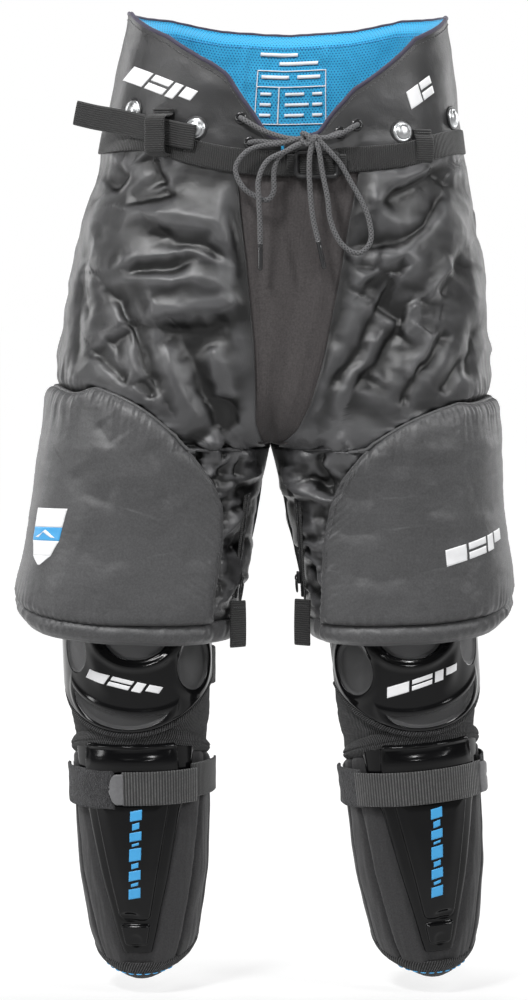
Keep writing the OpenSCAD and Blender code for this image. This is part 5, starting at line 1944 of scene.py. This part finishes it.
    # shin plate: raised panel below the strap and a block above and below it
    z = np.linspace(0, 1, count(300))
    tt = z[:, None]
    c = np.linspace(-1, 1, count(150))[None]
    zz = -81.5 + (-250 + 81.5) * tt + 0 * c
    A = half(zz) * c * 0.96
    zz = zz - (6 * (A / 60) ** 2) * (1 - tt)
    x = np.radians(A) * (smooth_look(zz, GW, 7) + 2)

    def box(px, pz, cx, w_top, w_low, z_top, z_low, r):
        k = np.clip((z_top - pz) / (z_top - z_low), 0, 1)
        w = w_top + (w_low - w_top) * k
        qx, qz = np.abs(px - cx) - w + r, np.abs(pz - (z_top + z_low) / 2) - (z_top - z_low) / 2 + r
        return np.hypot(np.maximum(qx, 0), np.maximum(qz, 0)) + np.minimum(np.maximum(qx, qz), 0) - r

    xw = np.radians(half(zz)) * (smooth_look(zz, GW, 7) + 2) * 0.96
    rim = xw - np.abs(x)
    h = 2.0 + 1.3 * np.clip(rim / 3.0, 0, 1) ** 0.5
    top = box(x, zz, 0, 37.5, 38.5, -82.5, -105.5, 3.5)
    pan = box(x, zz, 0, 30.5, 11.5, -126, -223, 4)
    low = box(x, zz, 0, 11.5, 8.5, -227, -243.5, 2.5)
    h = h + 3.4 * sm(-top, -0.9, 1.6) + 1.0 * sm(-top, 1, 9) - 2.4 * sm(-top, 0, 4) * sm(zz, -98, -84)
    h = h + 3.0 * sm(-pan, -0.9, 1.8) + 0.8 * sm(-pan, 2, 12) + 2.6 * sm(-low, -0.8, 1.5)
    h = h - 2.6 * sm(-ell(x, zz, -4 * s * -1, -220, 9, 4.5), -0.5, 3.0)
    h = h - 1.8 * sm(-ell(x, zz, 0, -127, 24, 4.0), -0.5, 3.0) - 1.4 * sm(-ell(x, zz, 6 * -s, -90, 22, 4.5, 0.0),
            -0.5, 3.5)
    h = h - 1.5 * sm(-ell(x, zz, 0, -240, 5.5, 6.5), -0.5, 3.0)
    G, n = gp(A, zz, 0), gn(A, zz)
    P = place(s, G + n * (h[..., None]))
    N = turn(s, n)
    N2 = normals(P)
    if (N2 * N).sum() < 0:
        N2 = -N2
    o = slab("shin_shell_" + nm, P, N, h - 0.4, "gloss")
    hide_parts("shin_plate_" + nm)
    ride(o, H)
    # knit band over the guard's top edge
    patch("shin_top_knit_" + nm, s, -88, 88, count(190), count(30), lambda a: -86 - 9 * (a / 88) ** 2,
          lambda a: -70 - 17 * (a / 88) ** 2,
          lambda A, z, x,
          tt: 1.6 + 2.3 * np.sin(np.pi * np.clip(tt, 0.03, 0.97)) ** 0.7 + 0.4 * noise3(x / 9, z / 6, 2.0 + s)
          - 0.9 * np.exp(-((tt - 0.5) / 0.06) ** 2), 3.0, "knit", "shin_band_" + nm, H)

    # toe band, turned under the liner's end, with its stitch row
    def toe_z(a):
        return -260 + 24 * (np.abs(a) / 112) ** 2.2

    def toe(A, z, x, tt):
        return 3.4 - 10.5 * tt ** 3 + 0.3 * noise3(x / 8, z / 5, 3.0) - 1.2 * (1 - np.clip(tt / 0.12, 0, 1)) ** 2

    patch("toe_knit_" + nm, s, -112, 112, count(260), count(40), lambda a: toe_z(a) - 15.5, toe_z, toe, 3.0, "knit",
          "toe_band_" + nm, H)
    a = np.linspace(-62, 62, 260)
    zz = toe_z(a) - 9.6
    C = place(s, gp(a, zz, 0) + gn(a, zz) * 1.25)
    o = stitches("toe_stitch_" + nm, C, turn(s, gn(a, zz)), "thread_blue", 4.6, 2.0, 0.42)
    ride(o, H)

    # calf strap in its lengths: pile, webbing, hook end
    def run(a0, a1, name, mat, d0, z0, z1, thick, node=None, wav=0.3, rows=22):
        k = max(10, count(int(abs(a1 - a0) * 1.5)))
        return patch(name + "_" + nm, s, a0, a1, k, rows, lambda a: a * 0 + z0, lambda a: a * 0 + z1,
                     lambda A, z, x, tt: d0 + wav * noise3(x / 13, z / 9, 5.0 + s + d0), thick, mat, node, H)

    # the strap lies over the plate's panel at the front and on the foam at the sides
    if s == R:
        run(-5, 56, "calf_webbing", "strap", 8.6, -129.5, -104, 1.6, "calf_strap_" + nm, 0.25)
        run(-86, -13, "calf_pile", "pile", 7.2, -133, -103.5, 2.4, None, 0.8)
        run(52, 100, "calf_hook", "webbing", 7.4, -126, -100.5, 2.0, None, 0.3)
        run(98, 276, "calf_back", "webbing", 3.0, -128, -103, 1.6, None, 0.3)
        a0, a1 = -15, -4.6
    else:
        run(-64, 50, "calf_webbing", "strap", 8.6, -129.5, -104, 1.6, "calf_strap_" + nm, 0.25)
        run(-112, -60, "calf_pile", "pile", 7.0, -131, -102, 2.4, None, 0.8)
        run(56, 112, "calf_hook", "pile", 6.6, -127, -101.5, 2.0, None, 0.3)
        run(110, 250, "calf_back", "webbing", 3.0, -128, -103, 1.6, None, 0.3)
        a0, a1 = 48, 61

    def tab_d(A, z, x, tt):
        q = (A - a0) / (a1 - a0)
        return 9.6 + 1.3 * np.sin(np.pi * q) + 0.3 * np.cos(6 * tt)

    def tab_lo(a):
        q = np.clip((a - a0) / (a1 - a0), 0, 1) if s < 0 else np.clip((a1 - a) / (a1 - a0), 0, 1)
        return -117 - 11.5 * np.sqrt(np.clip(1 - (1 - np.clip(q * 1.6, 0.02, 1)) ** 2, 0, 1))

    def tab_hi(a):
        return -234 - tab_lo(a)

    patch("strap_pull_" + nm, s, a0, a1, 26, 30, tab_lo, tab_hi, tab_d, 1.8, "pull", "strap_tab_" + nm, H)

    # marks on the cap and the plate
    def cap_fn(x, zq):
        A = np.degrees(x / GUARD_RADIUS)
        d = cap_d(A, zq, x, 0 * x)
        n = gn(A, zq)
        return place(s, gp(A, zq, 0) + n * (d[..., None])), turn(s, n)

    if s == R:
        q = bars(-32, -29, 22, -43.5, 8.0, MARK)
    else:
        q = bars(-29, -43.5, 24, -30, 8.0, MARK)
    o = decal("cap_mark_" + nm, cap_fn, q, "print_white", 0.2, 0.8)
    ride(o, K)

    def plate_fn(x, zq):
        A = np.degrees(x / (smooth_look(zq, GW, 7) + 2))
        n = gn(A, zq)
        pn = box(x, zq, 0, 30.5, 11.5, -126, -223, 4)
        hh = 3.3 + 3.0 * sm(-pn, -0.9, 1.8) + 0.8 * sm(-pn, 2, 12)
        return place(s, gp(A, zq, 0) + n * hh[..., None]), turn(s, n)

    q = []
    x0 = 3.0 * (1 if s < 0 else 0) - 2
    for k, (b0,
            b1) in enumerate(((0, 8), (10, 12.5), (14.5, 22), (24, 28), (30, 40), (42, 44), (46, 53), (55, 60),
                              (62, 70))):
        z0, z1 = -205 + b0, -205 + b1
        w = 4.3 if k % 2 == 0 else 2.6
        q.append(((x0 + 0.05 * b0 - w, z0), (x0 + 0.05 * b0 + w, z0 + 1.6), (x0 + 0.05 * b1 + w, z1 + 1.6),
                  (x0 + 0.05 * b1 - w, z1)))
    o = decal("plate_mark_" + nm, plate_fn, q, "print_blue", 0.2, 0.8)
    ride(o, H)


for s in (R, L):
    guard(s)


# ------------------------------------------------------------------ pieces shown as built in the CAD
for o in bpy.data.objects:
    if o.type == "MESH" and o.name.startswith(("kidney_pad", "spine_pad", "thigh_plate")):
        o.data.materials.clear()
        o.data.materials.append(MAT["hardware" if o.name.startswith("thigh_plate") else "foam"])


# ------------------------------------------------------------------ floor and finish
def floor():
    P = np.array([(-30000, -30000, 0), (30000, -30000, 0), (30000, 30000, 0), (-30000, 30000, 0)], float)
    P[:, 2] = -672
    m = bpy.data.materials.new("floor")
    m.use_nodes = True
    b = m.node_tree.nodes["Principled BSDF"]
    b.inputs["Base Color"].default_value = (0.28, 0.28, 0.28, 1)
    b.inputs["Roughness"].default_value = 0.9
    b.inputs["Specular IOR Level"].default_value = 0.1
    b.inputs["Emission Color"].default_value = (1, 1, 1, 1)
    dist = m.node_tree.nodes.new("ShaderNodeVectorMath")
    dist.operation = "LENGTH"
    m.node_tree.links.new(m.node_tree.nodes.new("ShaderNodeTexCoord").outputs["Object"], dist.inputs[0])
    tree = m.node_tree
    xyz = tree.nodes.new("ShaderNodeSeparateXYZ")
    tree.links.new(tree.nodes["Texture Coordinate"].outputs["Object"], xyz.inputs[0])
    far = map_range(tree, xyz.outputs[1], -0.5, 0.1, 0.12, 0.86)
    far = map_range(tree, dist.outputs["Value"], 1.2, 3.0, far, map_range(tree, xyz.outputs[1], -0.5, 1.0, 0.3, 0.97))
    m.node_tree.links.new(far, b.inputs["Emission Strength"])
    MAT["floor"] = m
    o = new_mesh("floor", P, [(0, 1, 2, 3)], "floor")


floor()
